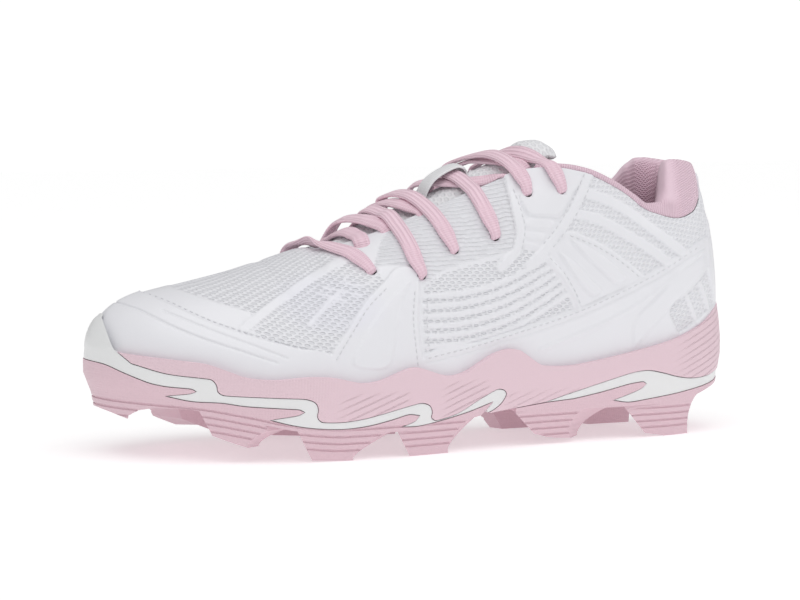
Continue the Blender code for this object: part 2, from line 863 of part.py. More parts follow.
def build_upper():
    outer, throat = upper_grid(0.0)
    inner, _ = upper_grid(-WALL)
    rows, columns = outer.shape[:2]
    inside = rows * columns
    faces = split_quads(grid_faces(rows, columns, wrap=True))
    faces += [face[::-1] for face in split_quads(grid_faces(rows, columns, inside, wrap=True))]
    last = (rows - 1) * columns
    for j in range(columns):
        k = (j + 1) % columns
        faces.append((k, j, inside + j, inside + k))
        if j < throat or j >= columns - throat:
            faces.append((last + j, last + k, inside + last + k, inside + last + j))
    points = np.vstack([outer.reshape(-1, 3), inner.reshape(-1, 3)])
    body = make_object("upper", points, faces, material("white_upper"))
    for side in (1, -1):
        for number in range(len(EYELETS)):
            cut(body, "DIFFERENCE", eyelet_punch(f"punch_{side}_{number}", number, side))
    tidy(body)
    return body


def grid_tree(grid, wrap=False):
    rows, columns = grid.shape[:2]
    return BVHTree.FromPolygons(grid.reshape(-1, 3).tolist(), grid_faces(rows, columns, wrap=wrap))


def lace_hole(number, side):
    """Middle of a lace hole on the upper's face, and the face's normal there."""
    outer_x, outer_z, inner_x, inner_z = EYELETS[number]
    x, z = (outer_x, outer_z) if side > 0 else (inner_x, inner_z)
    point, normal, _, _ = UPPER_TREE.ray_cast(Vector((x, side * SKY, z)), Vector((0, -side, 0)))
    if normal.y * side < 0:
        normal = -normal
    return point, normal


def eyelet_punch(name, number, side):
    point, normal = lace_hole(number, side)
    across = normal.orthogonal().normalized()
    over = normal.cross(across)
    turns = [2 * math.pi * k / EYELET_SIDES for k in range(EYELET_SIDES)]
    spokes = [(across * math.cos(a) + over * math.sin(a)) * EYELET_RADIUS for a in turns]
    rings = [[point + normal * depth + spoke for spoke in spokes] for depth in (-WALL * 2, WALL)]
    return closed_loft(name, np.array(rings))


# The sole


def form_levels():
    """Heights and insets of the sole's side, with the grooves that cross the studs."""
    heights, insets = zip(*FORM_LEVELS)
    table = list(FORM_LEVELS)
    for rib in RIB_HEIGHTS:
        for shift, deep in ((-1, 0.0), (0, RIB_DEEP), (1, 0.0)):
            z = rib + shift * RIB_HALF
            table.append((z, np.interp(z, heights, insets) + deep))
    return sorted(table)


def sole_form(name):
    """The sole's whole outer form, which its layers are cut from."""
    shares = np.arange(FORM_COLUMNS) * 2.0 / FORM_COLUMNS
    points, normals = outline(shares)
    spring = along_table(TOE_SPRING, points[:, 0])[:, 0]
    rings = []
    for z, inset in form_levels():
        follows = np.interp(z, SPRING_FADE, (1.0, 0.0))
        rings.append(np.column_stack([points - normals * inset, z + spring * follows]))
    return lidded_loft(name, np.stack(rings))


def fore_ring():
    return list(BAND_TOP) + list(BAND_FOOT) + [*BAND_TOE, RIM[0]]


def midsole_ring():
    return [*RIM, *HEEL_BAND_TOP[::-1], *ARCH_FLOOR, *BAND_TOP[-2::-1]]


def fore_outsole_ring():
    """Everything under the fore band, down past the floor."""
    end = BASE_FORE[-1]
    return [*BAND_FOOT, (PAST_TOE, BELOW_FLOOR), (end[0], BELOW_FLOOR), end]


def heel_outsole_ring():
    """Everything under the heel band, down past the floor."""
    front = HEEL_FRONT[0][0]
    return [*HEEL_FRONT, *HEEL_BAND_FOOT[::-1], (PAST_HEEL, BELOW_FLOOR), (front, BELOW_FLOOR)]


def heel_band_ring():
    return list(HEEL_BAND_TOP) + list(HEEL_BAND_FOOT)


def stud_side(front_top, front_foot, back_foot, back_top, foot_front, foot_back, arch):
    """A stud's outline seen from the side, with a hollow back."""
    top_front = np.interp(front_top, *base_heights())
    top_back = np.interp(back_top, *base_heights())
    ring = [(front_top, STUD_ROOT), (front_top, top_front), (front_foot, foot_front)]
    for k in range(STUD_ARC + 1):
        turn = math.pi / 2 * k / STUD_ARC
        run = 1 - math.cos(turn)
        rise = arch * math.sin(turn) + (1 - arch) * run
        ring.append((back_foot - (back_foot - back_top) * run, foot_back + (top_back - foot_back) * rise))
    return ring + [(back_top, STUD_ROOT)]


def base_heights():
    rows = np.array(sorted(BASE_FORE + BASE_HEEL))
    return rows[:, 0], rows[:, 1] + STUD_BITE


def stud_block(name, side, row, shift, near, lean):
    """A stud before its outer face is cut: its hidden side leans in, its front rakes back and its hollow
    back is bevelled."""
    ring = np.array(stud_side(*row)) + (shift, 0.0)
    depth = np.clip(STUD_DEPTH - ring[:, 1], 0.0, None)
    middle = ring[:, 0].mean()
    outer, inner = along_table(OUTLINE, [middle])[0]
    floor_inset = FORM_LEVELS[1][1]
    face = (outer if side > 0 else inner) - floor_inset - middle_line(middle) * side
    sweep = np.zeros(len(ring))
    sweep[-STUD_ARC - 2:-1] = np.linspace(*lean, STUD_ARC + 1)
    sweep[-1] = lean[1]
    rake = np.zeros(len(ring))
    rake[:-STUD_ARC - 2] = STUD_RAKE
    hidden = np.minimum(near + STUD_DRAFT * depth, face - STUD_BEVEL - STUD_FOOT)
    sections = ((hidden, 0.0), (face - STUD_BEVEL, 0.0), (face + STUD_BEVEL, sweep))
    ends = [
        np.column_stack([
            ring[:, 0] + forward - rake * (face - across),
            side * (across + np.zeros(len(ring))) + middle_line(ring[:, 0]),
            ring[:, 1],
        ])
        for across, forward in sections
    ]
    return closed_loft(name, np.stack(ends))


def layer(name, ring, colour, form):
    """A layer of the sole: its outline seen from the side, cut to the sole's form."""
    made = part_from(side_prism(name + "_block", inset_ring(ring, GAP / 2)), name, colour)
    cut(made, "INTERSECT", form)
    return made


def build_outsole(name, ring, base, stud_names, form):
    """A slab with its studs, cut to the sole's form and to the edge of the white band above it."""
    (front, _), (back, back_z) = base[0], base[-1]
    behind = [(back - SLAB_REACH, back_z), (back - SLAB_REACH, SLAB_TOP)]
    body = side_prism(name + "_block", [*base, *behind, (front, SLAB_TOP)])
    made = part_from(body, name, "pink_rubber")
    for label, *row, near in STUDS:
        if label not in stud_names:
            continue
        *lengths, foot_front, foot_back, arch = row
        outer = (0.0, foot_front, foot_back)
        inner = (INNER_SHIFT[label], *INNER_FEET.get(label, outer[1:]))
        for side, where, (shift, *feet) in ((1, "outer", outer), (-1, "inner", inner)):
            ends = [*lengths, *feet, arch]
            block = stud_block(f"stud_{label}_{where}", side, ends, shift, near, STUD_SWEEP[label])
            cut(made, "UNION", block)
    if "toe" in stud_names:
        cut(made, "UNION", side_prism("stud_toe", stud_side(*TOE_STUD)))
    cut(made, "INTERSECT", form)
    cut(made, "INTERSECT", side_prism(name + "_below", inset_ring(ring, GAP / 2)))
    tidy(made)
    return made


def build_midsole(form, last):
    made = layer("midsole", midsole_ring(), "pink_foam", form)
    cut(made, "DIFFERENCE", last)
    tidy(made)
    return made


def build_bands(form, last):
    fore = layer("band_fore", fore_ring(), "white_band", form)
    bumper = filled_upper("bumper_block", BUMPER)
    cut(bumper, "INTERSECT", side_prism("bumper_side", BUMPER_SIDE))
    cut(fore, "UNION", bumper)
    cut(fore, "DIFFERENCE", last)
    tidy(fore)
    heel = layer("band_heel", heel_band_ring(), "white_band", form)
    tidy(heel)


# Pieces inside and on the upper


def build_insole():
    """The sock liner, raised a little at its edge."""
    shares = np.arange(FORM_COLUMNS // 2) * 4.0 / FORM_COLUMNS
    points, normals = outline(shares)
    rings = []
    for inset, lift in INSOLE_RINGS:
        ring = points - normals * (FEATHER_INSET + INSOLE_EDGE + inset)
        rings.append(np.column_stack([ring, footbed(ring[:, 0]) + lift]))
    return lidded_loft("insole", np.stack(rings), material("pink_lining"))


def face_normals(x, z):
    """Upward normals along a curve seen from the side."""
    slope = np.gradient(z, x)
    normal = np.column_stack([-slope, np.zeros(len(x)), np.ones(len(x))])
    return normal / np.linalg.norm(normal, axis=1, keepdims=True)


def tongue_faces():
    """Grids of the tongue's upper and lower faces."""
    rows = np.array(TONGUE_SECTIONS, float)
    across = np.linspace(-1, 1, TONGUE_ACROSS + 1)
    edge = 1 - TONGUE_THINNING * np.abs(across) ** 3
    top, bottom = [], []
    for (x, crown, half, drop, thick), up in zip(rows, face_normals(rows[:, 0], rows[:, 1])):
        y = across * half + middle_line(x)
        line = np.column_stack([np.full(len(y), x), y, crown - drop * across**2])
        top.append(line)
        bottom.append(line - up * thick * edge[:, None])
    return np.stack(top), np.stack(bottom)


def build_tongue():
    made = sheet_solid("tongue", *tongue_faces(), material("white_mesh"))
    tidy(made)
    return made


def build_tongue_loop():
    """A strap along the tongue that the fourth row of the lace runs under."""
    x, above = np.array(LOOP, float).T
    heights = along_table(TONGUE_SECTIONS, x)[:, 0] + above
    across = np.linspace(-1, 1, LOOP_ACROSS)
    line = np.stack([
        np.column_stack([
            np.full(LOOP_ACROSS, place),
            across * LOOP_WIDTH / 2,
            height - LOOP_SAG * across**2,
        ])
        for place, height in zip(x, heights)
    ])
    top = line + face_normals(x, heights)[:, None, :] * LOOP_THICK
    made = sheet_solid("tongue_loop", top, line, material("white_overlay"))
    tidy(made)
    return made


def collar_ring(side, share, top, pad):
    """The collar's section: up its outer face, over its roll and down its inner face."""

    def wall(height, depth):
        out = upper_normal(side, [share], [height])[0]
        return upper_point(side, [share], [height])[0] - out * depth

    edge = wall(1.0, 0.0)
    out = upper_normal(side, [share], [1.0])[0]
    up = edge - wall(COLLAR_INSIDE[0][0], 0.0)
    up /= np.linalg.norm(up)
    stand = max((top - edge[2]) / up[2], COLLAR_LIP + COLLAR_STAND)
    bulge_height, bulge_share, bulge_most = COLLAR_BULGE
    bulge = min(stand * bulge_share, bulge_most)
    ring = [wall(height, COLLAR_BACK) for height in COLLAR_OUTSIDE]
    ring.append(edge + up * (COLLAR_LIP - COLLAR_UNDERCUT) - out * COLLAR_BACK)
    ring.append(edge + up * COLLAR_LIP - out * COLLAR_EDGE)
    ring.append(edge + up * (COLLAR_LIP + bulge_height * (stand - COLLAR_LIP)) + out * bulge)
    for high, deep in COLLAR_ROLL:
        rise = COLLAR_LIP + high * (stand - COLLAR_LIP)
        ring.append(edge + up * rise - out * (COLLAR_BACK + pad) * deep)
    ring += [wall(height, COLLAR_BACK + pad * part) for height, part in COLLAR_INSIDE]
    return ring


def build_collar():
    """The padded collar inside the quarter, standing above its edge round the heel."""
    last = COLLAR_SECTIONS[-1][0]
    low, high = COLLAR_TURN
    turns = [row[0] for row in COLLAR_SECTIONS if low < row[0] < high]
    plain = [share for share in upper_shares() if share < last - COLLAR_CLEAR]
    shares = np.array(sorted(plain + turns + [last]))
    halves = {1: [], -1: []}
    for share, (outer_top, inner_top, pad) in zip(shares, along_table(COLLAR_SECTIONS, shares)):
        halves[1].append(collar_ring(1, share, outer_top, pad))
        halves[-1].append(collar_ring(-1, share, inner_top, pad))
    rings = halves[1][::-1] + halves[-1][1:]
    made = closed_loft("collar", np.array(rings), material("pink_lining"))
    tidy(made)
    return made


def build_overlays(last, skin):
    """Panels sewn or welded on the upper: each is the skin's outline cut away from the upper's form."""
    for name, ring in OVERLAYS.items():
        sides = {
            f"{name}_outer": (OVERLAY_PART, CUTTER_REACH),
            f"{name}_inner": (-CUTTER_REACH, -OVERLAY_PART),
        }
        if name == "toe_cap":
            sides = {name: (-CUTTER_REACH, CUTTER_REACH)}
        for full, (low, high) in sides.items():
            shift = EYESTAY_SHIFT if full == "eyestay_inner" else (0.0, 0.0)
            made = part_from(skin, full, "white_overlay")
            cut(made, "INTERSECT", side_prism(full + "_side", np.add(ring, shift), low, high))
            cut(made, "DIFFERENCE", last)
            tidy(made)
    made = part_from(skin, "back_stay", "white_overlay")
    ring = np.array(STAY, float)
    ends = [np.column_stack([np.full(len(ring), x), ring]) for x in STAY_REACH]
    cut(made, "INTERSECT", closed_loft("stay_side", np.stack(ends)))
    cut(made, "DIFFERENCE", last)
    tidy(made)


# The lace


def ribbon(name, path, ups, colour=None):
    """A flat cord along a path, with its flat side towards ups."""
    along = np.gradient(path, axis=0)
    along /= np.linalg.norm(along, axis=1, keepdims=True)
    ups = ups - along * np.sum(ups * along, axis=1, keepdims=True)
    ups /= np.linalg.norm(ups, axis=1, keepdims=True)
    across = np.cross(along, ups)
    rings = [
        [p + a * (w * LACE_WIDTH / 2) + u * (h * LACE_THICK / 2) for w, h in LACE_SECTION]
        for p, a, u in zip(path, across, ups)
    ]
    return closed_loft(name, np.array(rings), material(colour) if colour else None)


def ground_under(x, y):
    """The highest face under a place seen from above, the upper's or the tongue's: height and normal."""
    down = Vector((0, 0, -1))
    hits = [tree.ray_cast(Vector((x, y, SKY)), down)[:2] for tree in (UPPER_TREE, TONGUE_TREE)]
    hits = [(point.z, normal) for point, normal in hits if point]
    height, normal = max(hits, key=lambda hit: hit[0], default=(0.0, Vector((0, 0, 1))))
    return height, normal if normal.z > 0 else -normal


def smoothed(values, rounds):
    """Values evened out along a strand, with its two ends kept."""
    values = np.array(values, float)
    for _ in range(rounds):
        values[1:-1] = (values[:-2] + 2 * values[1:-1] + values[2:]) / 4
    return values


def taut_heights(along, ground):
    """Heights of a line pulled tight over the ground below it."""
    chain = []
    for s, z in zip(along, ground):
        while len(chain) > 1:
            (s0, z0), (s1, z1) = chain[-2:]
            if (s1 - s0) * (z - z0) < (z1 - z0) * (s - s0):
                break
            chain.pop()
        chain.append((s, z))
    tight = np.interp(along, *zip(*chain))
    return np.maximum(smoothed(tight, STRAND_EVENING), tight)


def strand(*places):
    """Path of a strand through places seen from above, and the way its flat side faces."""
    places = np.array([place[:2] for place in places], float)
    reach = np.concatenate([[0.0], np.cumsum(np.linalg.norm(np.diff(places, axis=0), axis=1))])
    along = np.linspace(0, reach[-1], STRAND_POINTS)
    plan = smoothed(np.column_stack([np.interp(along, reach, side) for side in places.T]), STRAND_EVENING)
    ground, normals = zip(*[ground_under(x, y) for x, y in plan])
    facing = smoothed(normals, FACING_EVENING)
    facing /= np.linalg.norm(facing, axis=1, keepdims=True)
    lift = LACE_LIFT + LACE_SLACK * np.sin(math.pi * along / along[-1])
    return np.column_stack([plan, taut_heights(along, ground)]) + facing * lift[:, None], facing


def tuck(path, cover):
    """Leads the end of a path to just under the strand that covers it."""
    target = cover[np.argmin(np.linalg.norm(cover[:, :2] - path[-1, :2], axis=1))]
    t = np.clip((np.linspace(0, 1, len(path)) - TUCK_START) / (1 - TUCK_START), 0, 1)[:, None]
    return path + t * t * (3 - 2 * t) * (target - (0.0, 0.0, LACE_TUCK) - path[-1])


def lace_rows():
    """The strands of each row of the lace, from the first bar to the top."""
    holes = {(side, k): lace_hole(k, side)[0] for side in (1, -1) for k in range(len(EYELETS))}
    top = len(EYELETS) - 1
    bar, bar_ups = strand(holes[1, 0], holes[-1, 0])
    under, under_ups = strand(*UNDER_BAR)
    rows = {"lace_bar_1": [(bar, bar_ups), (tuck(under, bar), under_ups)]}
    for k in range(1, top):
        strands = []
        for side in (1, -1):
            ahead, across = STRAND_ENDS[side]
            strands.append(strand(holes[side, k], (holes[side, k].x + ahead, across)))
        (over, over_ups), (under, under_ups) = strands
        rows[f"lace_cross_{k + 1}"] = [(over, over_ups), (tuck(under, over), under_ups)]
    rows[f"lace_bar_{top + 1}"] = [strand(holes[1, top], TOP_BEND, holes[-1, top])]
    return rows


def build_lace():
    """The rows of the lace, each joined where its strands lie on each other."""
    for name, strands in lace_rows().items():
        (path, ups), *under = strands
        made = ribbon(name, path, ups, "pink_lace")
        for path, ups in under:
            cut(made, "UNION", ribbon(name + "_under", path, ups))
        tidy(made)


# The assembly

UPPER_TREE = grid_tree(upper_grid(0.0)[0], wrap=True)
TONGUE_TREE = grid_tree(tongue_faces()[0])


def main():
    form = sole_form("sole_form")
    last = filled_upper("last_form", GAP)
    skin = filled_upper("skin_form", OVERLAY + GAP)
    build_upper()
    build_midsole(form, last)
    build_bands(form, last)
    fore_studs = ("front", "ball", "waist", "toe")
    build_outsole("outsole_fore", fore_outsole_ring(), BASE_FORE, fore_studs, form)
    heel_studs = ("heel_front", "heel_back")
    build_outsole("outsole_heel", heel_outsole_ring(), BASE_HEEL, heel_studs, form)
    build_insole()
    build_tongue()
    build_tongue_loop()
    build_collar()
    build_overlays(last, skin)
    build_lace()


main()
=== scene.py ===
# Looks of the left softball cleat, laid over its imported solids
import math

import bmesh
import bpy
import numpy as np
from mathutils import Matrix, Vector
from mathutils.bvhtree import BVHTree


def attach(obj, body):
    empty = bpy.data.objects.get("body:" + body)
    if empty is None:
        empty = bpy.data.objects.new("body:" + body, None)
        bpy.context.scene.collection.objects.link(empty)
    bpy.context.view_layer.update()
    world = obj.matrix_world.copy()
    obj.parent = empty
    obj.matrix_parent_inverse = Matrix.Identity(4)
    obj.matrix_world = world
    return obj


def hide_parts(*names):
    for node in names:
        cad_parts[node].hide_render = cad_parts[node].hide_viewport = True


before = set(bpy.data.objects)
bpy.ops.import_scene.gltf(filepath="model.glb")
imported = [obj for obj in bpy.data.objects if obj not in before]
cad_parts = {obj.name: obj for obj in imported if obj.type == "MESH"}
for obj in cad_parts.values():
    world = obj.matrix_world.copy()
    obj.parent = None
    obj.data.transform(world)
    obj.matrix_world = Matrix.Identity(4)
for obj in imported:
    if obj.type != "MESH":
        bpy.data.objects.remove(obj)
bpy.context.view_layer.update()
bpy.ops.object.select_all(action="DESELECT")

mm = 0.001
tiny = 1e-9
fullTurn = 2 * math.pi
shoe = {
    "length": 280.0,
    "middle": 140.0,  # tables count x from the heel, the frame from the middle
    "wall": 2.2,
    "gap": 0.3,
    "featherInset": 4.6,
    "toeSwing": 12.5,
    "swingStart": 150.0,
    "throatEnd": 0.69,
}


def toRow(points):
    return (np.asarray(points, float) - (shoe["middle"], 0.0, 0.0)) * mm


def fromRow(points):
    return np.asarray(points, float) / mm + (shoe["middle"], 0.0, 0.0)


# The camera comes first, because seams and panels are placed by their pixels in the photo
photo = {
    "width": 800,
    "height": 600,
    "focalPixels": 2630.0,
    "yaw": 23.0,  # degrees from the outer side towards the toe
    "elevation": 4.95,
    "distance": 1.1,
    "aimHeight": 0.055,
    "aimRight": -0.0075,
    "aimUp": 0.0041,
    "sensor": 36.0,
    "pixel": 0.42,  # millimetres on the shoe to a pixel
}


def cameraAxes():
    yaw, lift = math.radians(photo["yaw"]), math.radians(photo["elevation"])
    right = Vector((-math.cos(yaw), math.sin(yaw), 0.0))
    back = Vector((math.sin(yaw) * math.cos(lift), math.cos(yaw) * math.cos(lift), math.sin(lift)))
    return right, back.cross(right), back


camRight, camUp, camBack = cameraAxes()
camAim = Vector((0.0, 0.0, photo["aimHeight"])) + camRight * photo["aimRight"] + camUp * photo["aimUp"]
camPlace = camAim + camBack * photo["distance"]


def makeCamera():
    data = bpy.data.cameras.new("photoCamera")
    data.sensor_width = photo["sensor"]
    data.lens = photo["sensor"] * photo["focalPixels"] / photo["width"]
    camera = bpy.data.objects.new("photoCamera", data)
    turn = Matrix((camRight, camUp, camBack)).transposed().to_4x4()
    camera.matrix_world = Matrix.Translation(camPlace) @ turn
    bpy.context.scene.collection.objects.link(camera)
    bpy.context.scene.camera = camera


def toPixels(points):
    # where points in millimetres fall in the photo
    away = toRow(points) - np.array(camPlace)
    depth = -(away @ np.array(camBack))
    across = photo["width"] / 2 + photo["focalPixels"] * (away @ np.array(camRight)) / depth
    down = photo["height"] / 2 - photo["focalPixels"] * (away @ np.array(camUp)) / depth
    return np.stack([across, down], -1)


def pixelRay(pixel):
    across = (pixel[0] - photo["width"] / 2) / photo["focalPixels"]
    rise = (photo["height"] / 2 - pixel[1]) / photo["focalPixels"]
    return (camRight * across + camUp * rise - camBack).normalized()


makeCamera()
print("camera placed")

# Curves through short tables


def unitRows(rows):
    return rows / np.linalg.norm(rows, axis=1, keepdims=True)


def reachAlong(points):
    # how far along a line each of its points is
    return np.concatenate([[0.0], np.cumsum(np.linalg.norm(np.diff(points, axis=0), axis=1))])


def nearest(share, count):
    # the column or row at a share of the way, 0 to 1
    return np.rint(share * count).astype(int)


def blunted(value, power):
    # a sine or cosine filled out towards its ends
    return np.sign(value) * np.abs(value) ** power


def cubic(t, start, startSlope, end, endSlope, span=1.0):
    return (
        (1 + 2 * t) * (1 - t) ** 2 * start
        + t * (1 - t) ** 2 * span * startSlope
        + t**2 * (3 - 2 * t) * end
        + t**2 * (t - 1) * span * endSlope
    )


def hermite(knots, values, slopes, at):
    at = np.clip(at, knots[0], knots[-1])
    i = np.clip(np.searchsorted(knots, at, side="right") - 1, 0, len(knots) - 2)
    span = knots[i + 1] - knots[i]
    t = ((at - knots[i]) / span)[:, None]
    return cubic(t, values[i], slopes[i], values[i + 1], slopes[i + 1], span[:, None])


def alongTable(table, at):
    # the other columns of a table at values of its first one, without overshoot
    rows = np.array(sorted(table), float)
    knots, values = rows[:, 0], rows[:, 1:]
    step = np.diff(values, axis=0) / np.diff(knots)[:, None]
    same = step[:-1] * step[1:] > 0
    slopes = np.zeros_like(values)
    mean = 2 * step[:-1] * step[1:] / np.where(same, step[:-1] + step[1:], 1.0)
    slopes[1:-1] = np.where(same, mean, 0.0)
    slopes[0], slopes[-1] = step[0], step[-1]
    return hermite(knots, values, slopes, np.atleast_1d(np.asarray(at, float)))


def smoothLine(points, steps=6, closed=False, corner=75.0):
    # a curve through points that keeps sharp corners sharp
    points = np.array(points, float)
    count = len(points)
    spans = count if closed else count - 1
    ahead = np.roll(points, -1, 0) - points
    long = np.maximum(np.linalg.norm(ahead, axis=1), tiny)
    unit = ahead / long[:, None]
    line = []
    for i in range(spans):
        j = (i + 1) % count
        ends = []
        for here, into, out in ((i, (i - 1) % count, i), (j, i, j)):
            outer = not closed and here in (0, count - 1)
            turn = math.degrees(math.acos(np.clip(unit[into] @ unit[out], -1, 1)))
            if outer or turn > corner:
                ends.append(unit[i] * long[i])
            else:
                bend = unit[into] + unit[out]
                ends.append(bend / np.linalg.norm(bend) * min(long[into], long[out], long[i] * 1.2))
        line += [cubic(k / steps, points[i], ends[0], points[j], ends[1]) for k in range(steps)]
    if not closed:
        line.append(points[-1])
    return np.array(line)


def smoothStep(low, high, value):
    t = np.clip((value - low) / (high - low), 0.0, 1.0)
    return t * t * (3 - 2 * t)


def strokeDistance(points, line):
    # distance of points from a line, and how far along it they are, 0 to 1
    line = np.asarray(line, float)
    best = np.full(len(points), 1e9)
    along = np.zeros(len(points))
    for i, (a, b) in enumerate(zip(line[:-1], line[1:])):
        way = b - a
        s = np.clip((points - a) @ way / max(way @ way, 1e-12), 0, 1)
        away = np.linalg.norm(points - a - s[:, None] * way, axis=1)
        near = away < best
        best[near] = away[near]
        along[near] = (i + s[near]) / (len(line) - 1)
    return best, along


def insideRing(points, ring):
    inside = np.zeros(len(points), bool)
    for (x0, y0), (x1, y1) in zip(ring, np.roll(ring, -1, 0)):
        if y0 == y1:
            continue
        spans = (points[:, 1] > min(y0, y1)) & (points[:, 1] <= max(y0, y1))
        cross = x0 + (points[:, 1] - y0) * (x1 - x0) / (y1 - y0)
        inside ^= spans & (points[:, 0] < cross)
    return inside


# The last: the sole's edge and the upper's outer face, as in the solids
soleEdge = (
    # x, outer half width, inner half width
    (3.5, 14.5, 14.5),
    (12.0, 24.5, 24.0),
    (28.0, 31.5, 30.0),
    (55.0, 34.5, 32.0),
    (95.0, 37.3, 30.5),
    (130.0, 42.0, 33.5),
    (165.0, 47.3, 41.5),
    (195.0, 48.5, 47.8),
    (225.0, 43.0, 48.2),
    (250.0, 30.5, 44.0),
    (267.0, 15.5, 36.0),
    (276.5, 1.0, 27.0),
)
footbed = (
    # x, height of the floor under the insole
    (0.0, 33.0),
    (60.0, 32.5),
    (90.0, 31.0),
    (120.0, 29.8),
    (150.0, 28.2),
    (180.0, 27.8),
    (208.0, 29.4),
    (225.0, 32.0),
    (240.0, 35.5),
    (255.0, 39.0),
    (265.0, 41.0),
    (280.0, 43.0),
)
upperSections = (
    # share of the half outline, top edge x, half width and height, swell and rise at the foot, reach and drop
    (0.000, 11.2, 0.0, 111.0, 4.0, 26.0, 6.0, 26.0),
    (0.025, 11.6, 6.5, 110.5, 4.0, 26.0, 6.0, 26.0),
    (0.060, 14.6, 15.0, 102.0, 3.8, 26.0, 5.0, 24.0),
    (0.095, 21.5, 21.5, 94.5, 3.5, 26.0, 4.5, 22.0),
    (0.140, 31.0, 25.5, 92.3, 3.2, 26.0, 5.0, 20.0),
    (0.200, 44.0, 27.0, 95.2, 3.0, 26.0, 6.0, 22.0),
    (0.270, 60.0, 27.0, 105.0, 2.6, 28.0, 8.0, 26.0),
    (0.330, 76.0, 25.0, 112.2, 2.2, 28.0, 10.0, 26.0),
    (0.380, 90.0, 22.0, 114.4, 1.8, 28.0, 12.0, 22.0),
    (0.420, 101.0, 19.5, 113.4, 1.6, 28.0, 14.0, 18.0),
    (0.470, 117.0, 17.5, 107.6, 1.5, 28.0, 16.0, 14.0),
    (0.530, 137.5, 16.0, 99.6, 1.5, 27.0, 17.0, 10.0),
    (0.590, 158.0, 14.5, 91.6, 1.5, 25.0, 19.0, 8.0),
    (0.640, 175.0, 11.5, 85.2, 1.5, 23.0, 20.0, 5.0),
    (0.670, 185.0, 6.5, 82.4, 1.5, 22.0, 22.0, 1.0),
    (0.690, 190.0, 0.0, 82.2, 1.5, 21.0, 24.0, 0.0),
    (0.730, 204.0, 0.0, 78.2, 1.5, 20.0, 25.0, 0.0),
    (0.790, 222.0, 0.0, 72.8, 1.5, 18.0, 24.0, 0.0),
    (0.860, 238.0, 0.0, 69.0, 1.8, 16.0, 20.0, 0.0),
    (0.930, 250.0, 0.0, 66.4, 1.6, 14.0, 15.0, 0.0),
    (1.000, 256.0, 0.0, 65.0, 1.2, 12.0, 13.0, 0.0),
)


def closedEdge():
    outer = [(x, wide) for x, wide, _ in soleEdge]
    inner = [(x, -wide) for x, _, wide in reversed(soleEdge)]
    ring = np.array([(0.0, 0.0), *outer, (shoe["length"], -shoe["toeSwing"]), *inner], float)
    toe = len(outer) + 1
    steps = np.linalg.norm(np.roll(ring, -1, 0) - ring, axis=1)
    before = np.roll(steps, 1)
    forward = (np.roll(ring, -1, 0) - ring) / steps[:, None]
    backward = (ring - np.roll(ring, 1, 0)) / before[:, None]
    weight = (before / (before + steps))[:, None]
    slopes = backward * (1 - weight) + forward * weight
    knots = np.concatenate([[0.0], np.cumsum(steps)])
    share = np.interp(knots, [0.0, knots[toe], knots[-1]], [0.0, 1.0, 2.0])
    scale = np.gradient(knots, share)[:, None]
    return share, np.vstack([ring, ring[:1]]), np.vstack([slopes, slopes[:1]]) * scale


edgeCurve = closedEdge()


def edgeAt(share):
    # points and outward normals of the sole's edge: share 0 heel, 1 toe, 2 heel again
    step = 1e-3
    share = np.asarray(share, float)
    ahead = hermite(*edgeCurve, (share + step) % 2.0)
    behind = hermite(*edgeCurve, (share - step) % 2.0)
    way = unitRows(ahead - behind)
    return hermite(*edgeCurve, share), np.stack([-way[:, 1], way[:, 0]], 1)


def middleLine(x):
    t = np.clip((x - shoe["swingStart"]) / (shoe["length"] - shoe["swingStart"]), 0.0, 1.0)
    return -shoe["toeSwing"] * t * t * (3 - 2 * t)


def lastPoint(side, share, height):
    edge, normal = edgeAt(share if side > 0 else 2.0 - share)
    row = alongTable(upperSections, share)
    ahead = alongTable(upperSections, np.clip(share + 0.01, 0, 1))
    behind = alongTable(upperSections, np.clip(share - 0.01, 0, 1))
    slope = (ahead[:, 2] - behind[:, 2]) / np.maximum(ahead[:, 0] - behind[:, 0], 1e-6)
    slope = np.where(share >= shoe["throatEnd"], slope, 0.0)
    plan = edge - normal * shoe["featherInset"]
    foot = np.column_stack([plan, alongTable(footbed, plan[:, 0])[:, 0]])
    top = np.column_stack([row[:, 0], side * row[:, 1] + middleLine(row[:, 0]), row[:, 2]])
    swell, rise, reach, drop = row[:, 3], row[:, 4], row[:, 5], row[:, 6]
    lower = foot + np.column_stack([normal * swell[:, None], rise])
    upper = top + np.column_stack([normal * reach[:, None], slope * normal[:, 0] * reach - drop])
    t = height[:, None]
    return (1 - t) ** 3 * foot + 3 * t * (1 - t) ** 2 * lower + 3 * t**2 * (1 - t) * upper + t**3 * top


def lastNormal(side, share, height):
    step = 2e-3
    up = lastPoint(side, share, np.minimum(height + step, 1))
    up = up - lastPoint(side, share, np.maximum(height - step, 0))
    forward = lastPoint(side, np.minimum(share + step, 1), height)
    forward = forward - lastPoint(side, np.maximum(share - step, 0), height)
    for end, sign in ((0.0, 1.0), (1.0, -1.0)):
        forward[np.abs(share - end) < tiny] = np.array((0.0, side * sign, 0.0))
    ridge = (np.abs(height - 1) < tiny) & (share >= shoe["throatEnd"] - tiny) & (share < 1)
    up[ridge] = np.array((0.0, -side, 0.0))
    return unitRows(np.cross(up, forward) * side)


# Meshes


def activate(item):
    bpy.ops.object.select_all(action="DESELECT")
    item.select_set(True)
    bpy.context.view_layer.objects.active = item


def mergeDoubles(item, reach=1e-6, recalc=True):
    activate(item)
    bpy.ops.object.mode_set(mode="EDIT")
    bpy.ops.mesh.select_all(action="SELECT")
    bpy.ops.mesh.remove_doubles(threshold=reach)
    if recalc:
        bpy.ops.mesh.normals_make_consistent(inside=False)
    bpy.ops.object.mode_set(mode="OBJECT")


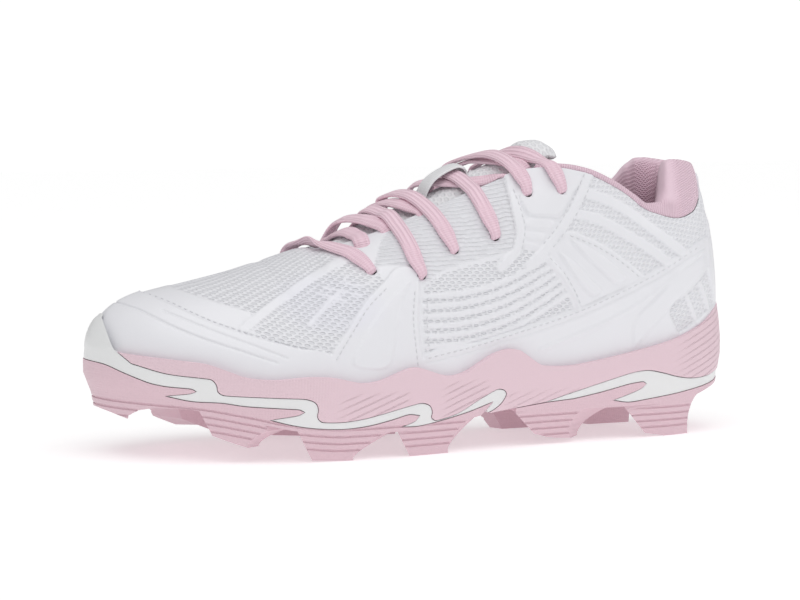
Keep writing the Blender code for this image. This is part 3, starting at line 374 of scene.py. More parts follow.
def closeEnds(item):
    activate(item)
    bpy.ops.object.mode_set(mode="EDIT")
    bpy.ops.mesh.select_all(action="SELECT")
    bpy.ops.mesh.fill_holes(sides=0)
    bpy.ops.mesh.normals_make_consistent(inside=False)
    bpy.ops.object.mode_set(mode="OBJECT")


def smoothByAngle(item, degrees):
    activate(item)
    bpy.ops.object.shade_smooth_by_angle(angle=math.radians(degrees))


def addGrid(name, columns, rows, place):
    # a grid primitive whose points are laid where place(u, v) puts them, in millimetres
    bpy.ops.object.select_all(action="DESELECT")
    bpy.ops.mesh.primitive_grid_add(x_subdivisions=columns, y_subdivisions=rows, size=2.0)
    item = bpy.context.object
    item.name = item.data.name = name
    flat = np.zeros(len(item.data.vertices) * 3)
    item.data.vertices.foreach_get("co", flat)
    u, v = ((flat.reshape(-1, 3)[:, :2] + 1) / 2).T
    points = place(u, v)
    item.data.vertices.foreach_set("co", toRow(points).ravel())
    item.data.update()
    return item, u, v


def addMesh(name, points, faces):
    mesh = bpy.data.meshes.new(name)
    mesh.from_pydata(toRow(points).tolist(), [], [list(face) for face in faces])
    item = bpy.data.objects.new(name, mesh)
    bpy.context.scene.collection.objects.link(item)
    return item


def ringFaces(rows, columns):
    # the faces between rings of points
    faces = []
    for low in range(0, rows * columns, columns):
        high = low + columns
        for j in range(columns):
            after = (j + 1) % columns
            faces.append((low + j, low + after, high + after, high + j))
    return faces


def addLoft(name, rings):
    # a solid from rings of points with flat ends
    rings = np.asarray(rings, float)
    rows, columns = rings.shape[:2]
    faces = ringFaces(rows - 1, columns)
    faces += [range(columns), range((rows - 1) * columns, rows * columns)]
    item = addMesh(name, rings.reshape(-1, 3), faces)
    mergeDoubles(item)
    return item


def storeValue(item, name, values):
    values = np.asarray(values, np.float32)
    kind, field = ("FLOAT", "value") if values.ndim == 1 else ("FLOAT_VECTOR", "vector")
    layer = item.data.attributes.new(name, kind, "POINT")
    layer.data.foreach_set(field, values.ravel())


def applyModifier(item, kind, **settings):
    activate(item)
    modifier = item.modifiers.new(kind.lower(), kind)
    for name, value in settings.items():
        setattr(modifier, name, value)
    bpy.ops.object.modifier_apply(modifier=modifier.name)


def carve(item, operation, cutter):
    applyModifier(item, "BOOLEAN", operation=operation, solver="EXACT", object=cutter)
    bpy.data.objects.remove(cutter, do_unlink=True)


def finishPiece(item, material, slot, nodes):
    item.data.materials.clear()
    item.data.materials.append(material)
    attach(item, "root")
    if nodes:
        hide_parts(*nodes)


# Shader maths


class Value:
    # wraps a socket, so that maths on values reads as plain expressions
    def __init__(self, tree, socket):
        self.tree = tree
        self.socket = socket

    def maths(self, operation, *others):
        sockets = dict(enumerate([self, *others]))
        return addNode(self.tree, "ShaderNodeMath", {"operation": operation}, sockets)

    def __add__(self, other):
        return self.maths("ADD", other)

    __radd__ = __add__

    def __mul__(self, other):
        return self.maths("MULTIPLY", other)

    def __sub__(self, other):
        return self.maths("SUBTRACT", other)

    def __rsub__(self, other):
        return addNode(self.tree, "ShaderNodeMath", {"operation": "SUBTRACT"}, {0: other, 1: self})

    def __truediv__(self, other):
        return self.maths("DIVIDE", other)

    def __abs__(self):
        return self.maths("ABSOLUTE")

    def sin(self):
        return self.maths("SINE")

    def wave(self):
        # a sine between 0 and 1
        return self.sin() * 0.5 + 0.5

    def fract(self):
        return self.maths("FRACT")

    def floor(self):
        return self.maths("FLOOR")

    def most(self, other):
        return self.maths("MAXIMUM", other)

    def root(self):
        return self.maths("SQRT")

    def ramp(self, low, high):
        # 0 below low, 1 above high, smooth between
        sockets = {0: self, 1: low, 2: high}
        return addNode(self.tree, "ShaderNodeMapRange", {"interpolation_type": "SMOOTHSTEP"}, sockets)


def addNode(tree, kind, settings=None, sockets=None, out=0):
    node = tree.nodes.new(kind)
    for name, value in (settings or {}).items():
        setattr(node, name, value)
    for name, value in (sockets or {}).items():
        if isinstance(value, Value):
            tree.links.new(value.socket, node.inputs[name])
        else:
            node.inputs[name].default_value = value
    return Value(tree, node.outputs[out])


class Finish:
    # one material: its tree, the places it reads and its Principled shader
    def __init__(self, name, colour, roughness, **constants):
        self.material = bpy.data.materials.new(name)
        self.material.use_nodes = True
        self.tree = self.material.node_tree
        self.shader = self.tree.nodes["Principled BSDF"]
        self.shader.inputs["Base Color"].default_value = (*colour, 1.0)
        self.shader.inputs["Roughness"].default_value = roughness
        for label, value in constants.items():
            self.shader.inputs[label.replace("_", " ")].default_value = value

    def node(self, kind, settings=None, sockets=None, out=0):
        return addNode(self.tree, kind, settings, sockets, out)

    def value(self, attribute):
        return self.node("ShaderNodeAttribute", {"attribute_name": attribute}, out=2)

    def place(self, attribute=None):
        # x, y and z of an attribute, or of the piece itself, in millimetres
        if attribute:
            vector = self.node("ShaderNodeAttribute", {"attribute_name": attribute}, out=1)
            scale = 1.0
        else:
            vector = self.node("ShaderNodeTexCoord", out=3)
            scale = 1000.0
        scaled = self.node("ShaderNodeVectorMath", {"operation": "SCALE"}, {0: vector, 3: scale})
        parts = [self.node("ShaderNodeSeparateXYZ", sockets={0: scaled}, out=k) for k in range(3)]
        return scaled, *parts

    def noise(self, vector, scale, detail=2.0, roughness=0.5):
        sockets = {"Vector": vector, "Scale": scale, "Detail": detail, "Roughness": roughness}
        return self.node("ShaderNodeTexNoise", sockets=sockets)

    def mixColour(self, share, first, second):
        sockets = {0: share, 6: first, 7: second}
        for key in (6, 7):
            if not isinstance(sockets[key], Value):
                sockets[key] = (*sockets[key], 1.0)
        return self.node("ShaderNodeMix", {"data_type": "RGBA"}, sockets, 2)

    def feed(self, label, value):
        self.tree.links.new(value.socket, self.shader.inputs[label])

    def bump(self, height, distance, strength=1.0):
        # height is a value about 0 to 1, distance its depth in millimetres
        sockets = {"Strength": strength, "Distance": distance * mm, "Height": height}
        self.feed("Normal", self.node("ShaderNodeBump", sockets=sockets))


def brickCells(across, up, wide, high, fill=0.86):
    # rows of long rounded cells, every other row moved by half a cell: 1 in the middle of a cell, 0 between
    row = up / high
    shifted = across / wide + row.floor() * 0.5
    x = abs(shifted.fract() - 0.5) * 2.0
    y = abs(row.fract() - 0.5) * 2.0
    reach = (x * x + y * y).root()
    return 1.0 - reach.ramp(fill * 0.45, fill)


def crossed(first, second):
    # two waves across each other, between 0 and 1
    return first.sin() * second.sin() * 0.5 + 0.5


# The upper: one shell whose panels, ribs and seams follow the photo
shell = {
    "throatOuter": 276,
    "throatInner": 100,
    "toe": 124,
    "rows": 148,
    "hidden": 0.07,  # share of the height behind the midsole
    "hiddenRows": 4,
    "lining": 8,
}

panels = {
    # rise in millimetres, width of the edge in pixels, outline in pixels of the photo
    "toeCap": (1.1, 1.6, (
        (60, 266), (112, 281.5), (139, 292.5), (167, 303.5), (206, 321.5), (234, 331.5), (270, 342),
        (300, 349.5), (331, 355), (336, 395), (220, 402), (60, 402),
    )),
    "saddle": (1.0, 1.6, (
        (331, 355), (345, 334), (365, 302), (385, 281), (397, 268), (415, 270), (419, 288),
        (417.5, 320), (420, 346), (422, 372), (400, 395), (345, 400), (334, 378),
    )),
    "counter": (1.0, 1.6, (
        (425, 355), (475, 342.5), (521, 328), (576, 309), (621, 288.5), (661, 267), (701, 241.5), (712, 234),
        (740, 300), (725, 352), (620, 372), (540, 392), (424, 395),
    )),
    "eyeletPanel": (0.9, 1.8, (
        (516, 184), (520, 199), (526, 212), (531, 215), (557, 216.5), (562, 213), (573, 194), (585, 171),
        (572, 146), (545, 140), (515, 150),
    )),
    "spearPanel": (0.6, 1.6, (
        (567, 231), (597, 242.5), (621, 257.5), (646, 278), (622, 288), (577, 308.5), (573, 297), (561, 277),
        (547, 260), (556, 244),
    )),
    "backStay": (0.9, 1.8, (
        (701, 150), (704, 190), (707, 235), (709, 275), (713, 310), (740, 310), (740, 150),
    )),
    "topTab": (0.3, 2.0, (
        (90, 262), (130, 273), (170, 287), (206, 299), (252, 313), (246, 329), (270, 341), (234, 331),
        (206, 321), (167, 303), (139, 292), (90, 274),
    )),
}
emboss = {
    # shapes raised on the panels, in the same way
    "saddleBlade": (0.5, 1.4, (
        (411, 279), (399, 307), (394, 344), (386, 367), (356, 367), (352, 362), (367, 332), (388, 302),
    )),
    "spearOne": (0.7, 1.4, (
        (569, 239), (592, 250), (610, 263), (627, 279), (617, 284), (600, 270), (584, 255),
    )),
    "spearTwo": (0.7, 1.4, (
        (558, 252), (575, 264), (590, 280), (602, 291), (593, 296), (580, 284), (568, 267),
    )),
    "heelBlade": (0.45, 1.4, (
        (634, 320), (654, 299), (674, 278), (702, 256), (699, 275), (669, 307), (650, 328), (632, 349),
    )),
}
meshAreas = {
    # outlines of the open mesh in pixels, with the turn of its cells
    "vamp": (0.0, (
        (150, 270), (170, 287), (206, 299), (252, 313), (247, 331), (270, 341), (300, 348.5),
        (330, 354), (344, 334), (364, 302), (384, 281), (372, 268), (330, 255), (290, 215), (250, 240),
    )),
    "side": (0.0, (
        (425, 353), (475, 341), (520, 326.5), (574, 308), (571, 297), (559, 278), (545, 262),
        (528, 250), (505, 258), (470, 266), (440, 276), (424, 290),
    )),
    "quarter": (1.0, (
        (592, 168), (625, 176), (660, 195), (712, 200), (713, 232), (701, 240), (661, 266), (646, 277),
        (621, 256), (597, 241), (568, 229.5), (578, 207),
    )),
    "heelPatch": (1.0, (
        (669, 309), (685, 294), (697, 281), (706, 269), (712, 296), (712, 305), (690, 326), (678, 333),
    )),
}
corrugated = (
    (374, 266), (384, 236), (425, 200), (470, 178), (506, 170), (515, 200), (519, 238), (512, 250),
    (470, 262), (440, 272), (422, 284), (400, 266),
)
ribs = {
    # rise, half width at the start and at the end in pixels, line in pixels of the photo
    "vampStrip": (0.45, 5.2, 4.4, ((244, 330), (270, 308), (297, 288), (325, 270), (352, 255))),
    "vampShort": (0.4, 3.4, 2.6, ((311, 324), (324, 308), (338, 294))),
    "vampLineOne": (0.3, 1.3, 1.3, ((322, 287), (340, 291), (360, 296))),
    "vampLineTwo": (0.3, 1.3, 1.3, ((316, 293), (330, 297), (346, 302))),
    "holeFrame": (0.35, 1.2, 1.2, ((346, 275), (344, 282), (352, 285.5), (366, 285.5), (376, 279))),
    "frontStrip": (0.9, 5.0, 4.6, ((508, 172), (515, 205), (520, 230), (517, 250), (500, 268))),
    "backStrip": (0.9, 4.6, 4.4, ((592, 166), (576, 205), (561, 230), (546, 249), (528, 266))),
    "quarterTop": (0.8, 5.4, 5.2, ((586, 194), (606, 200), (628, 212), (657, 233), (683, 253))),
    "quarterLow": (0.8, 5.2, 5.0, ((576, 214), (596, 219), (616, 229), (648, 248), (668, 263))),
    "sideCurve": (0.7, 3.4, 3.4, ((544, 257), (560, 275), (571, 295), (576, 309))),
    "rungTop": (0.5, 5.2, 5.2, ((531, 224), (548, 224.5))),
    "rungMiddle": (0.5, 3.6, 3.0, ((529, 235.5), (541, 236.5))),
    "rungLow": (0.5, 2.4, 2.0, ((526, 244), (535, 246))),
    "counterRidge": (0.4, 1.8, 1.2, ((540, 349), (575, 335), (604, 322), (634, 306), (665, 284), (700, 252))),
    "heelBar": (0.5, 2.4, 2.4, ((686, 296), (692, 311), (696, 322))),
    "heelBarBack": (0.5, 2.2, 2.2, ((699, 283), (704, 296), (707, 308))),
}
ribTop = 1.5  # no rib stands higher than this above the upper
sideRibs = {"count": 6, "step": 10.0, "rise": 0.75, "half": 2.7}  # plain sweeping ribs on the midfoot
sideRibLine = ((424, 297), (465, 293), (505, 281), (545, 259), (582, 232))
grooves = {
    # depth, half width in pixels, line in pixels of the photo
    "capLine": (0.5, 1.5, (
        (92, 297), (113, 303), (139, 311), (170, 326), (199, 338), (234, 349.5), (277, 363.5),
    )),
    "capShort": (0.4, 1.4, ((163, 312), (187, 321.5), (220, 334.5), (255, 347), (287, 359))),
    "seamLow": (0.35, 1.3, (
        (426, 363), (476, 350), (522, 335.5), (577, 316.5), (622, 296), (662, 275), (702, 249),
    )),
    "saddleGroove": (0.3, 1.2, ((425, 285), (424, 320), (426, 350))),
    "stayGroove": (0.35, 1.4, ((699, 168), (701, 200), (704, 240), (706, 266))),
}
creases = {
    # depth, half width, middle of each soft trough across the vamp and quarter, in pixels
    "vampBend": (0.5, 13.0, ((262, 262), (285, 292), (300, 330))),
    "vampBendBack": (0.4, 12.0, ((312, 240), (328, 280), (345, 316))),
    "anklePull": (0.5, 12.0, ((640, 205), (655, 222), (690, 236))),
}
eyelets = (
    # x and height of each lace hole on the outer side and on the inner side, from toe to top
    (173.0, 74.5, 190.0, 71.5),
    (153.0, 72.5, 173.5, 73.0),
    (137.5, 82.0, 157.5, 77.5),
    (118.5, 87.0, 139.0, 84.0),
    (101.5, 104.0, 121.5, 94.0),
    (86.5, 105.0, 104.0, 102.5),
)
eyeletPit = {"radius": 2.1, "depth": 1.3, "edge": (-0.6, 0.2)}
softEdge = {"mesh": 2.0, "waves": 2.5, "rib": 1.1, "groove": 0.2}  # in pixels


def ribMask(pixels, line, start, end):
    away, along = strokeDistance(pixels, smoothLine(line))
    half = start + (end - start) * along
    return 1 - smoothStep(half - softEdge["rib"], half + softEdge["rib"], away)


def panelMask(pixels, ring, edge):
    ring = smoothLine(ring, 4, closed=True)
    away, _ = strokeDistance(pixels, np.vstack([ring, ring[:1]]))
    signed = np.where(insideRing(pixels, ring), away, -away)
    return smoothStep(-edge / 2, edge / 2, signed)


def upperRelief(pixels):
    # how far each place of the upper stands out, in millimetres, and where mesh and corrugation show
    panel = np.zeros(len(pixels))
    smooth = np.zeros(len(pixels))
    for rise, edge, ring in panels.values():
        mask = panelMask(pixels, ring, edge)
        panel = np.maximum(panel, rise * mask)
        smooth = np.maximum(smooth, mask)
    cells, turn = np.zeros(len(pixels)), np.zeros(len(pixels))
    masks = {}
    for name, (slanted, ring) in meshAreas.items():
        masks[name] = panelMask(pixels, ring, softEdge["mesh"])
        cells = np.maximum(cells, masks[name])
        turn = np.maximum(turn, slanted * masks[name])
    panel *= 1 - masks["heelPatch"]
    for rise, edge, ring in emboss.values():
        panel += rise * panelMask(pixels, ring, edge)
    waves = panelMask(pixels, corrugated, softEdge["waves"])
    relief = panel.copy()
    for rise, start, end, line in ribs.values():
        mask = ribMask(pixels, line, start, end)
        relief = np.maximum(relief, panel + (np.minimum(panel + rise, ribTop) - panel) * mask)
        cells *= 1 - mask
        waves *= 1 - mask
    for k in range(sideRibs["count"]):
        line = [(x, y + k * sideRibs["step"]) for x, y in sideRibLine]
        mask = ribMask(pixels, line, sideRibs["half"], sideRibs["half"]) * masks["side"]
        relief = np.maximum(relief, sideRibs["rise"] * mask)
        cells *= 1 - mask
    cells = np.maximum(cells * (1 - smooth), cells * masks["heelPatch"])
    for depth, half, line in grooves.values():
        away, _ = strokeDistance(pixels, smoothLine(line))
        relief -= depth * (1 - smoothStep(softEdge["groove"], half, away))
    for depth, half, line in creases.values():
        away, _ = strokeDistance(pixels, smoothLine(line))
        relief -= depth * (1 - smoothStep(0.0, half, away)) ** 2
    return relief, cells, turn, waves * (1 - smooth)


def upperSide(side, shares, heights):
    # the outer face of one side, its lining and what its surface shows, on a grid of shares and heights
    share = np.repeat(shares, len(heights))
    height = np.tile(heights, len(shares))
    seen = lastPoint(1, share, height)  # the inner side repeats the outer side's panels
    base = seen if side > 0 else lastPoint(-1, share, height)
    relief, cells, slant, waves = upperRelief(toPixels(seen))
    # a near-black disc at each lace hole: painted shade for the hole's inside, laid over a shallow dip
    dark = np.zeros(len(base))
    rimIn, rimOut = (eyeletPit["radius"] + part for part in eyeletPit["edge"])
    for outerX, outerZ, innerX, innerZ in eyelets:
        x, z = (outerX, outerZ) if side > 0 else (innerX, innerZ)
        middle = base[np.argmin((base[:, 0] - x) ** 2 + (base[:, 2] - z) ** 2)]
        away = np.linalg.norm(base - middle, axis=1)
        dark = np.maximum(dark, 1 - smoothStep(rimIn, rimOut, away))
    skin = base + lastNormal(side, share, height) * (relief - eyeletPit["depth"] * dark)[:, None]
    steps = np.linalg.norm(np.diff(seen.reshape(len(shares), len(heights), 3), axis=1), axis=2)
    arc = np.concatenate([np.zeros((len(shares), 1)), np.cumsum(steps, axis=1)], axis=1).ravel()
    low = np.linspace(1, 0, shell["lining"] + 1)
    s, h = np.repeat(shares, len(low)), np.tile(low, len(shares))
    lining = lastPoint(side, s, h) - lastNormal(side, s, h) * shoe["wall"]
    flat = np.column_stack([seen[:, 0], arc, np.zeros(len(arc))])
    shown = {"cells": cells, "slant": slant, "waves": waves, "hole": dark, "flat": flat}
    return skin, lining, shown


def buildUpper():
    rows, lining, throat = shell["rows"], shell["lining"], shoe["throatEnd"]
    heights = np.concatenate([
        np.linspace(0, shell["hidden"], shell["hiddenRows"], endpoint=False),
        np.linspace(shell["hidden"], 1, rows - shell["hiddenRows"] + 1),
    ])
    toe = np.linspace(throat, 1, shell["toe"] + 1)
    shares = {
        1: np.concatenate([np.linspace(0, throat, shell["throatOuter"], endpoint=False), toe]),
        -1: np.concatenate([np.linspace(0, throat, shell["throatInner"], endpoint=False), toe]),
    }
    made = {side: upperSide(side, shares[side], heights) for side in (1, -1)}
    outer, inner = len(shares[1]) - 1, len(shares[-1]) - 1
    ring = rows + 1 + lining + 1  # rows round the section; the last one is the first again

    def locate(u, v):
        column = nearest(u, outer + inner)
        row = nearest(v, ring) % ring
        side = np.where(column <= outer, 1, -1)
        return np.where(column <= outer, column, outer + inner - column), row, side

    def pick(u, v, skins, linings):
        column, row, side = locate(u, v)
        values = np.zeros((len(u), *skins[1].shape[1:]))
        for which in (1, -1):
            out = (side == which) & (row <= rows)
            values[out] = skins[which][column[out] * (rows + 1) + row[out]]
            if linings:
                inn = (side == which) & (row > rows)
                values[inn] = linings[which][column[inn] * (lining + 1) + row[inn] - rows - 1]
        return values

    def place(u, v):
        return pick(u, v, {side: made[side][0] for side in made}, {side: made[side][1] for side in made})

    item, u, v = addGrid("upperShell", outer + inner, ring, place)
    for name in ("cells", "slant", "waves", "hole", "flat"):
        storeValue(item, name, pick(u, v, {side: made[side][2][name] for side in made}, None))
    column, row, side = locate(u, v)
    storeValue(item, "inside", np.where(row <= rows + 1, 0.0, 1.0))
    forward = np.where(side > 0, shares[1][np.minimum(column, outer)], shares[-1][np.minimum(column, inner)])
    closed = forward >= throat - tiny
    work = bmesh.new()
    work.from_mesh(item.data)
    spare = []
    for face in work.faces:
        ids = [vertex.index for vertex in face.verts]
        if all(closed[i] and rows <= row[i] <= rows + 1 for i in ids) and len({row[i] for i in ids}) == 2:
            spare.append(face)
    bmesh.ops.delete(work, geom=spare, context="FACES_ONLY")
    work.to_mesh(item.data)
    work.free()
    mergeDoubles(item)
    smoothByAngle(item, degrees=60.0)
    return item


upperFinish = {
    "smooth": (0.83, 0.83, 0.865),
    # painted shade: the darker grey put in the mesh pits and the corrugation troughs
    "between": (0.66, 0.67, 0.71),
    "lavender": (0.79, 0.79, 0.87),
    "inside": (0.80, 0.77, 0.79),
    # painted shade: near black for the inside of each lace hole
    "hole": (0.012, 0.010, 0.012),
    "cell": (3.3, 1.55),  # wide and high
    "leanCell": (3.4, 1.35),
    "leanTurn": (0.47, 0.88),  # sine and cosine of the quarter's turn
    "waveStep": 2.0,
    "tintAt": (52.0, 62.0),  # middle of the lavender tint, x and height
    "tintFall": (0.002, 0.006),
}


def paintUpper():
    made = Finish("whiteUpper", upperFinish["smooth"], 0.42)
    look = upperFinish
    _, across, up, _ = made.place("flat")
    body, bodyX, _, bodyZ = made.place()
    cells, slant, waves, hole = (made.value(name) for name in ("cells", "slant", "waves", "hole"))
    inside = made.value("inside")
    wobble = made.noise(body, 0.16) - 0.5
    straight = brickCells(across + wobble * 1.2, up - across * 0.12 + wobble, *look["cell"])
    sine, cosine = look["leanTurn"]
    lean = brickCells(up * sine - across * cosine, up * cosine + across * sine, *look["leanCell"])
    pits = (straight * (1.0 - slant) + lean * slant) * cells
    sway = made.noise(body, 0.5, 1.0) - 0.5
    swayed = up - across * 0.06 + wobble * 1.8 + sway * 0.9
    trough = (1.0 - (swayed * (fullTurn / look["waveStep"])).wave()) * waves
    grain = made.noise(body, 3.2, 3.0)
    fine = made.noise(body, 0.035, 1.0)
    awayX, awayZ = bodyX - look["tintAt"][0], bodyZ - look["tintAt"][1]
    tint = awayX * awayX * look["tintFall"][0] + awayZ * awayZ * look["tintFall"][1]
    colour = made.mixColour((1.0 - tint.ramp(0.2, 1.2)) * 0.5, look["smooth"], look["lavender"])
    # painted shade: the mesh pits and the corrugation troughs darkened with the grey
    colour = made.mixColour((pits * (0.38 - slant * 0.1)).most(trough * 0.25), colour, look["between"])
    colour = made.mixColour(inside, colour, look["inside"])
    # painted shade: the lace holes filled with near black
    colour = made.mixColour(hole.ramp(0.35, 0.8), colour, look["hole"])
    made.feed("Base Color", colour)
    made.feed("Roughness", 0.36 + cells.most(waves) * 0.26 + fine * 0.08 + hole * 0.3)
    made.feed("Coat Weight", (1.0 - cells.most(waves).most(hole)) * 0.16)
    made.shader.inputs["Coat Roughness"].default_value = 0.3
    made.bump(1.0 - pits * (0.8 - slant * 0.25) - trough * 0.9 + grain * 0.10, 0.5)
    return made.material


upperPiece = buildUpper()
finishPiece(upperPiece, paintUpper(), "upper_mesh", [
    "upper", "toe_cap", "saddle_outer", "saddle_inner", "eyestay_outer", "eyestay_inner", "counter_outer",
    "counter_inner", "back_stay",
])
print("upper laid over its last")


def treeOf(item):
    # a piece's outer faces as a tree to cast rays on
    points = [vertex.co.copy() for vertex in item.data.vertices]
    hidden = np.zeros(len(points))
    if "inside" in item.data.attributes:
        item.data.attributes["inside"].data.foreach_get("value", hidden)
    faces = [list(face.vertices) for face in item.data.polygons]
    return BVHTree.FromPolygons(points, [face for face in faces if max(hidden[face]) < 0.5])


upperTree = treeOf(upperPiece)

# Stitches along the seams of both sides
stitch = {
    "size": (1.7, 0.55, 0.32),
    "full": 1.3,  # makes up for what rounding a bar takes off it
    "step": 2.7,
    "sink": 0.08,
    "jump": 0.02,  # metres; a seam has no stitch across a longer jump
    "away": 0.2,  # metres to the inner side, where the rays across start
    "colour": (0.74, 0.74, 0.77),
}
seams = {
    # line in pixels of the photo
    "cap": ((141, 291), (168, 301), (207, 319), (235, 329), (270, 339.5), (300, 347), (330, 352.5)),
    "saddleFront": ((336, 361), (349, 339), (369, 307), (389, 286)),
    "saddleBack": ((415, 290), (413.5, 320), (416, 346), (418, 364)),
    "sideFront": ((428, 290), (427, 322), (429, 348)),
    "lowSeam": ((427, 358.5), (476, 346), (522, 331.5), (577, 312.5), (622, 292), (662, 271), (700, 246)),
    "frontStripOut": ((503.5, 180), (510.5, 206), (515, 230), (512.5, 247)),
    "frontStripIn": ((513, 188), (520, 207), (525, 229), (522, 249)),
    "backStripIn": ((585, 173), (571, 204), (556.5, 228), (541, 247)),
    "backStripOut": ((594, 176), (581, 206), (566, 231), (551, 250)),
    "sideCurve": ((549, 257), (565, 274), (576, 293), (580, 303)),
    "spearEdge": ((569, 235), (596, 246), (619, 260), (641, 278)),
}


def alongPixels(line, step):
    # even places along a line of pixels
    line = smoothLine(line, 8)
    reach = reachAlong(line)
    at = np.arange(step / 2, reach[-1], step)
    return np.column_stack([np.interp(at, reach, line[:, k]) for k in (0, 1)])


def seamPlaces(line):
    # where the stitches of one seam sit on the outer side, and on the inner side across from them
    pixelStep = stitch["step"] / photo["pixel"]
    near, far = [], []
    for pixel in alongPixels(line, pixelStep):
        point, normal, _, _ = upperTree.ray_cast(camPlace, pixelRay(pixel))
        if point is None:
            continue
        near.append((point, normal))
        across = Vector((point.x, -stitch["away"], point.z))
        other, otherNormal, _, _ = upperTree.ray_cast(across, Vector((0, 1, 0)))
        if other is not None and other.y < 0:
            far.append((other, otherNormal))
    return near, far


def buildStitches():
    # one short rounded bar, set many times and joined
    bpy.ops.object.select_all(action="DESELECT")
    bpy.ops.mesh.primitive_cube_add(size=1.0)
    bar = bpy.context.object
    applyModifier(bar, "SUBSURF", levels=1, render_levels=1)
    shape = np.array([vertex.co for vertex in bar.data.vertices]) * stitch["size"] * stitch["full"]
    faces = [list(face.vertices) for face in bar.data.polygons]
    bpy.data.objects.remove(bar, do_unlink=True)
    points, sides = [], []
    for line in seams.values():
        for places in seamPlaces(line):
            spots = [point for point, _ in places]
            for k, (point, normal) in enumerate(places):
                way = spots[min(k + 1, len(spots) - 1)] - spots[max(k - 1, 0)]
                if way.length < tiny or way.length > stitch["jump"]:
                    continue
                way = (way - normal * way.dot(normal)).normalized()
                over = normal.cross(way)
                middle = fromRow(point) + np.array(normal) * stitch["sink"]
                first = len(points) * len(shape)
                points.append(middle + shape @ np.array((way, over, normal)))
                sides += [[first + i for i in face] for face in faces]
    item = addMesh("seamStitches", np.vstack(points), sides)
    for face in item.data.polygons:
        face.use_smooth = True
    return item


def paintThread():
    made = Finish("whiteThread", stitch["colour"], 0.62)
    place, x, _, z = made.place()
    made.feed("Roughness", 0.56 + made.noise(place, 0.4) * 0.14)
    made.bump(((x + z) * 9.0).wave(), 0.05)
    return made.material


stitchPiece = buildStitches()
finishPiece(stitchPiece, paintThread(), "overlay", [])
print("stitches", len(stitchPiece.data.polygons), "faces")

# Tongue and its lace loop
tongueSections = (
    # x, crown height, half width, drop at the edges, thickness
    (196.0, 73.0, 13.0, 5.0, 2.5),
    (182.0, 81.0, 17.0, 7.5, 3.0),
    (165.0, 89.6, 20.0, 10.5, 3.5),
    (148.0, 97.2, 22.0, 12.5, 4.0),
    (132.0, 103.8, 21.6, 12.5, 4.5),
    (117.0, 110.8, 21.0, 12.0, 5.0),
    (106.0, 115.4, 19.4, 10.5, 5.5),
    (99.5, 118.2, 17.2, 8.0, 6.0),
    (96.0, 122.0, 14.6, 6.5, 6.5),
    (92.0, 124.4, 13.6, 5.5, 6.5),
    (86.5, 124.8, 12.6, 5.0, 5.5),
    (82.0, 123.0, 10.6, 4.0, 4.4),
    (79.2, 121.2, 7.6, 2.4, 3.6),
    (77.8, 120.0, 3.6, 0.8, 3.0),
)
tongue = {
    "along": 150,
    "around": 96,
    "puff": 0.7,
    "endRun": 3.5,  # how far its ends take to round off
    "edgePower": 3.5,
    "under": 0.9,  # shares of the thickness: its under side and its rim
    "rim": 0.12,
    "cell": (3.6, 2.6, 0.92),
    "light": (0.84, 0.84, 0.86),
    # painted shade: the darker grey of the mesh pits
    "pitShade": (0.72, 0.72, 0.75),
}


def tongueCurve(count):
    # the sections read evenly along the tongue's crown
    rows = np.array(tongueSections, float)
    reach = reachAlong(rows[:, :2])
    table = np.column_stack([reach, rows])
    at = np.linspace(0, reach[-1], count)
    return at, alongTable([tuple(row) for row in table], at)


def buildTongue():
    at, rows = tongueCurve(tongue["along"] + 1)
    slopeX, slopeZ = np.gradient(rows[:, 0], at), np.gradient(rows[:, 1], at)
    up = unitRows(np.column_stack([slopeZ, np.zeros(len(at)), -slopeX]))
    ends = np.sqrt(np.clip(np.minimum(at, at[-1] - at) / tongue["endRun"], 0.0, 1.0))
    under, rimShare = tongue["under"], tongue["rim"]

    def place(u, v):
        i = nearest(u, tongue["along"])
        turn = v * fullTurn
        across = np.cos(turn)
        x, crown, half, drop, thick = rows[i].T
        edge = np.sqrt(np.clip(1 - np.abs(across) ** tongue["edgePower"], 0, 1))
        top = np.column_stack([x, across * half + middleLine(x), crown - drop * across**2])
        upper = np.sin(turn) >= 0
        puff = tongue["puff"] * edge * ends[i] * np.where(upper, 1.0, 0.0)
        above = (1 - ends[i]) * 0.5 + rimShare * (1 - edge)
        fall = np.where(upper, above, ends[i] * edge * under + rimShare)
        return top + up[i] * (puff - thick * fall)[:, None]

    item, u, v = addGrid("tonguePad", tongue["along"], tongue["around"], place)
    wide = rows[nearest(u, tongue["along"]), 2]
    flat = np.column_stack([u * at[-1], np.cos(v * fullTurn) * wide, np.zeros(len(u))])
    storeValue(item, "flat", flat)
    mergeDoubles(item, reach=2e-5)
    smoothByAngle(item, degrees=70.0)
    return item


def paintTongue():
    made = Finish("whiteOpenMesh", tongue["light"], 0.72)
    _, along, across, _ = made.place("flat")
    pits = brickCells(across, along, *tongue["cell"])
    # painted shade in the mesh pits
    made.feed("Base Color", made.mixColour(pits * 0.5, tongue["light"], tongue["pitShade"]))
    made.bump(1.0 - pits, 0.35)
    return made.material


tonguePiece = buildTongue()
finishPiece(tonguePiece, paintTongue(), "tongue_mesh", ["tongue"])

loop = {
    "width": 11.0,
    "thick": 1.1,
    "sag": 1.0,
    "sink": 0.6,
    "along": 48,
    "around": 24,
    "blunt": (0.35, 0.5),  # how square its section is, across and through
    "dark": (0.76, 0.76, 0.78),
    "light": (0.85, 0.85, 0.86),
}
loopLine = (
    # x, height above the tongue's crown
    (139.6, 0.9),
    (138.2, 4.6),
    (135.0, 8.0),
    (129.5, 9.2),
    (124.0, 8.6),
    (120.8, 6.0),
    (119.8, 2.6),
    (119.3, 0.9),
)


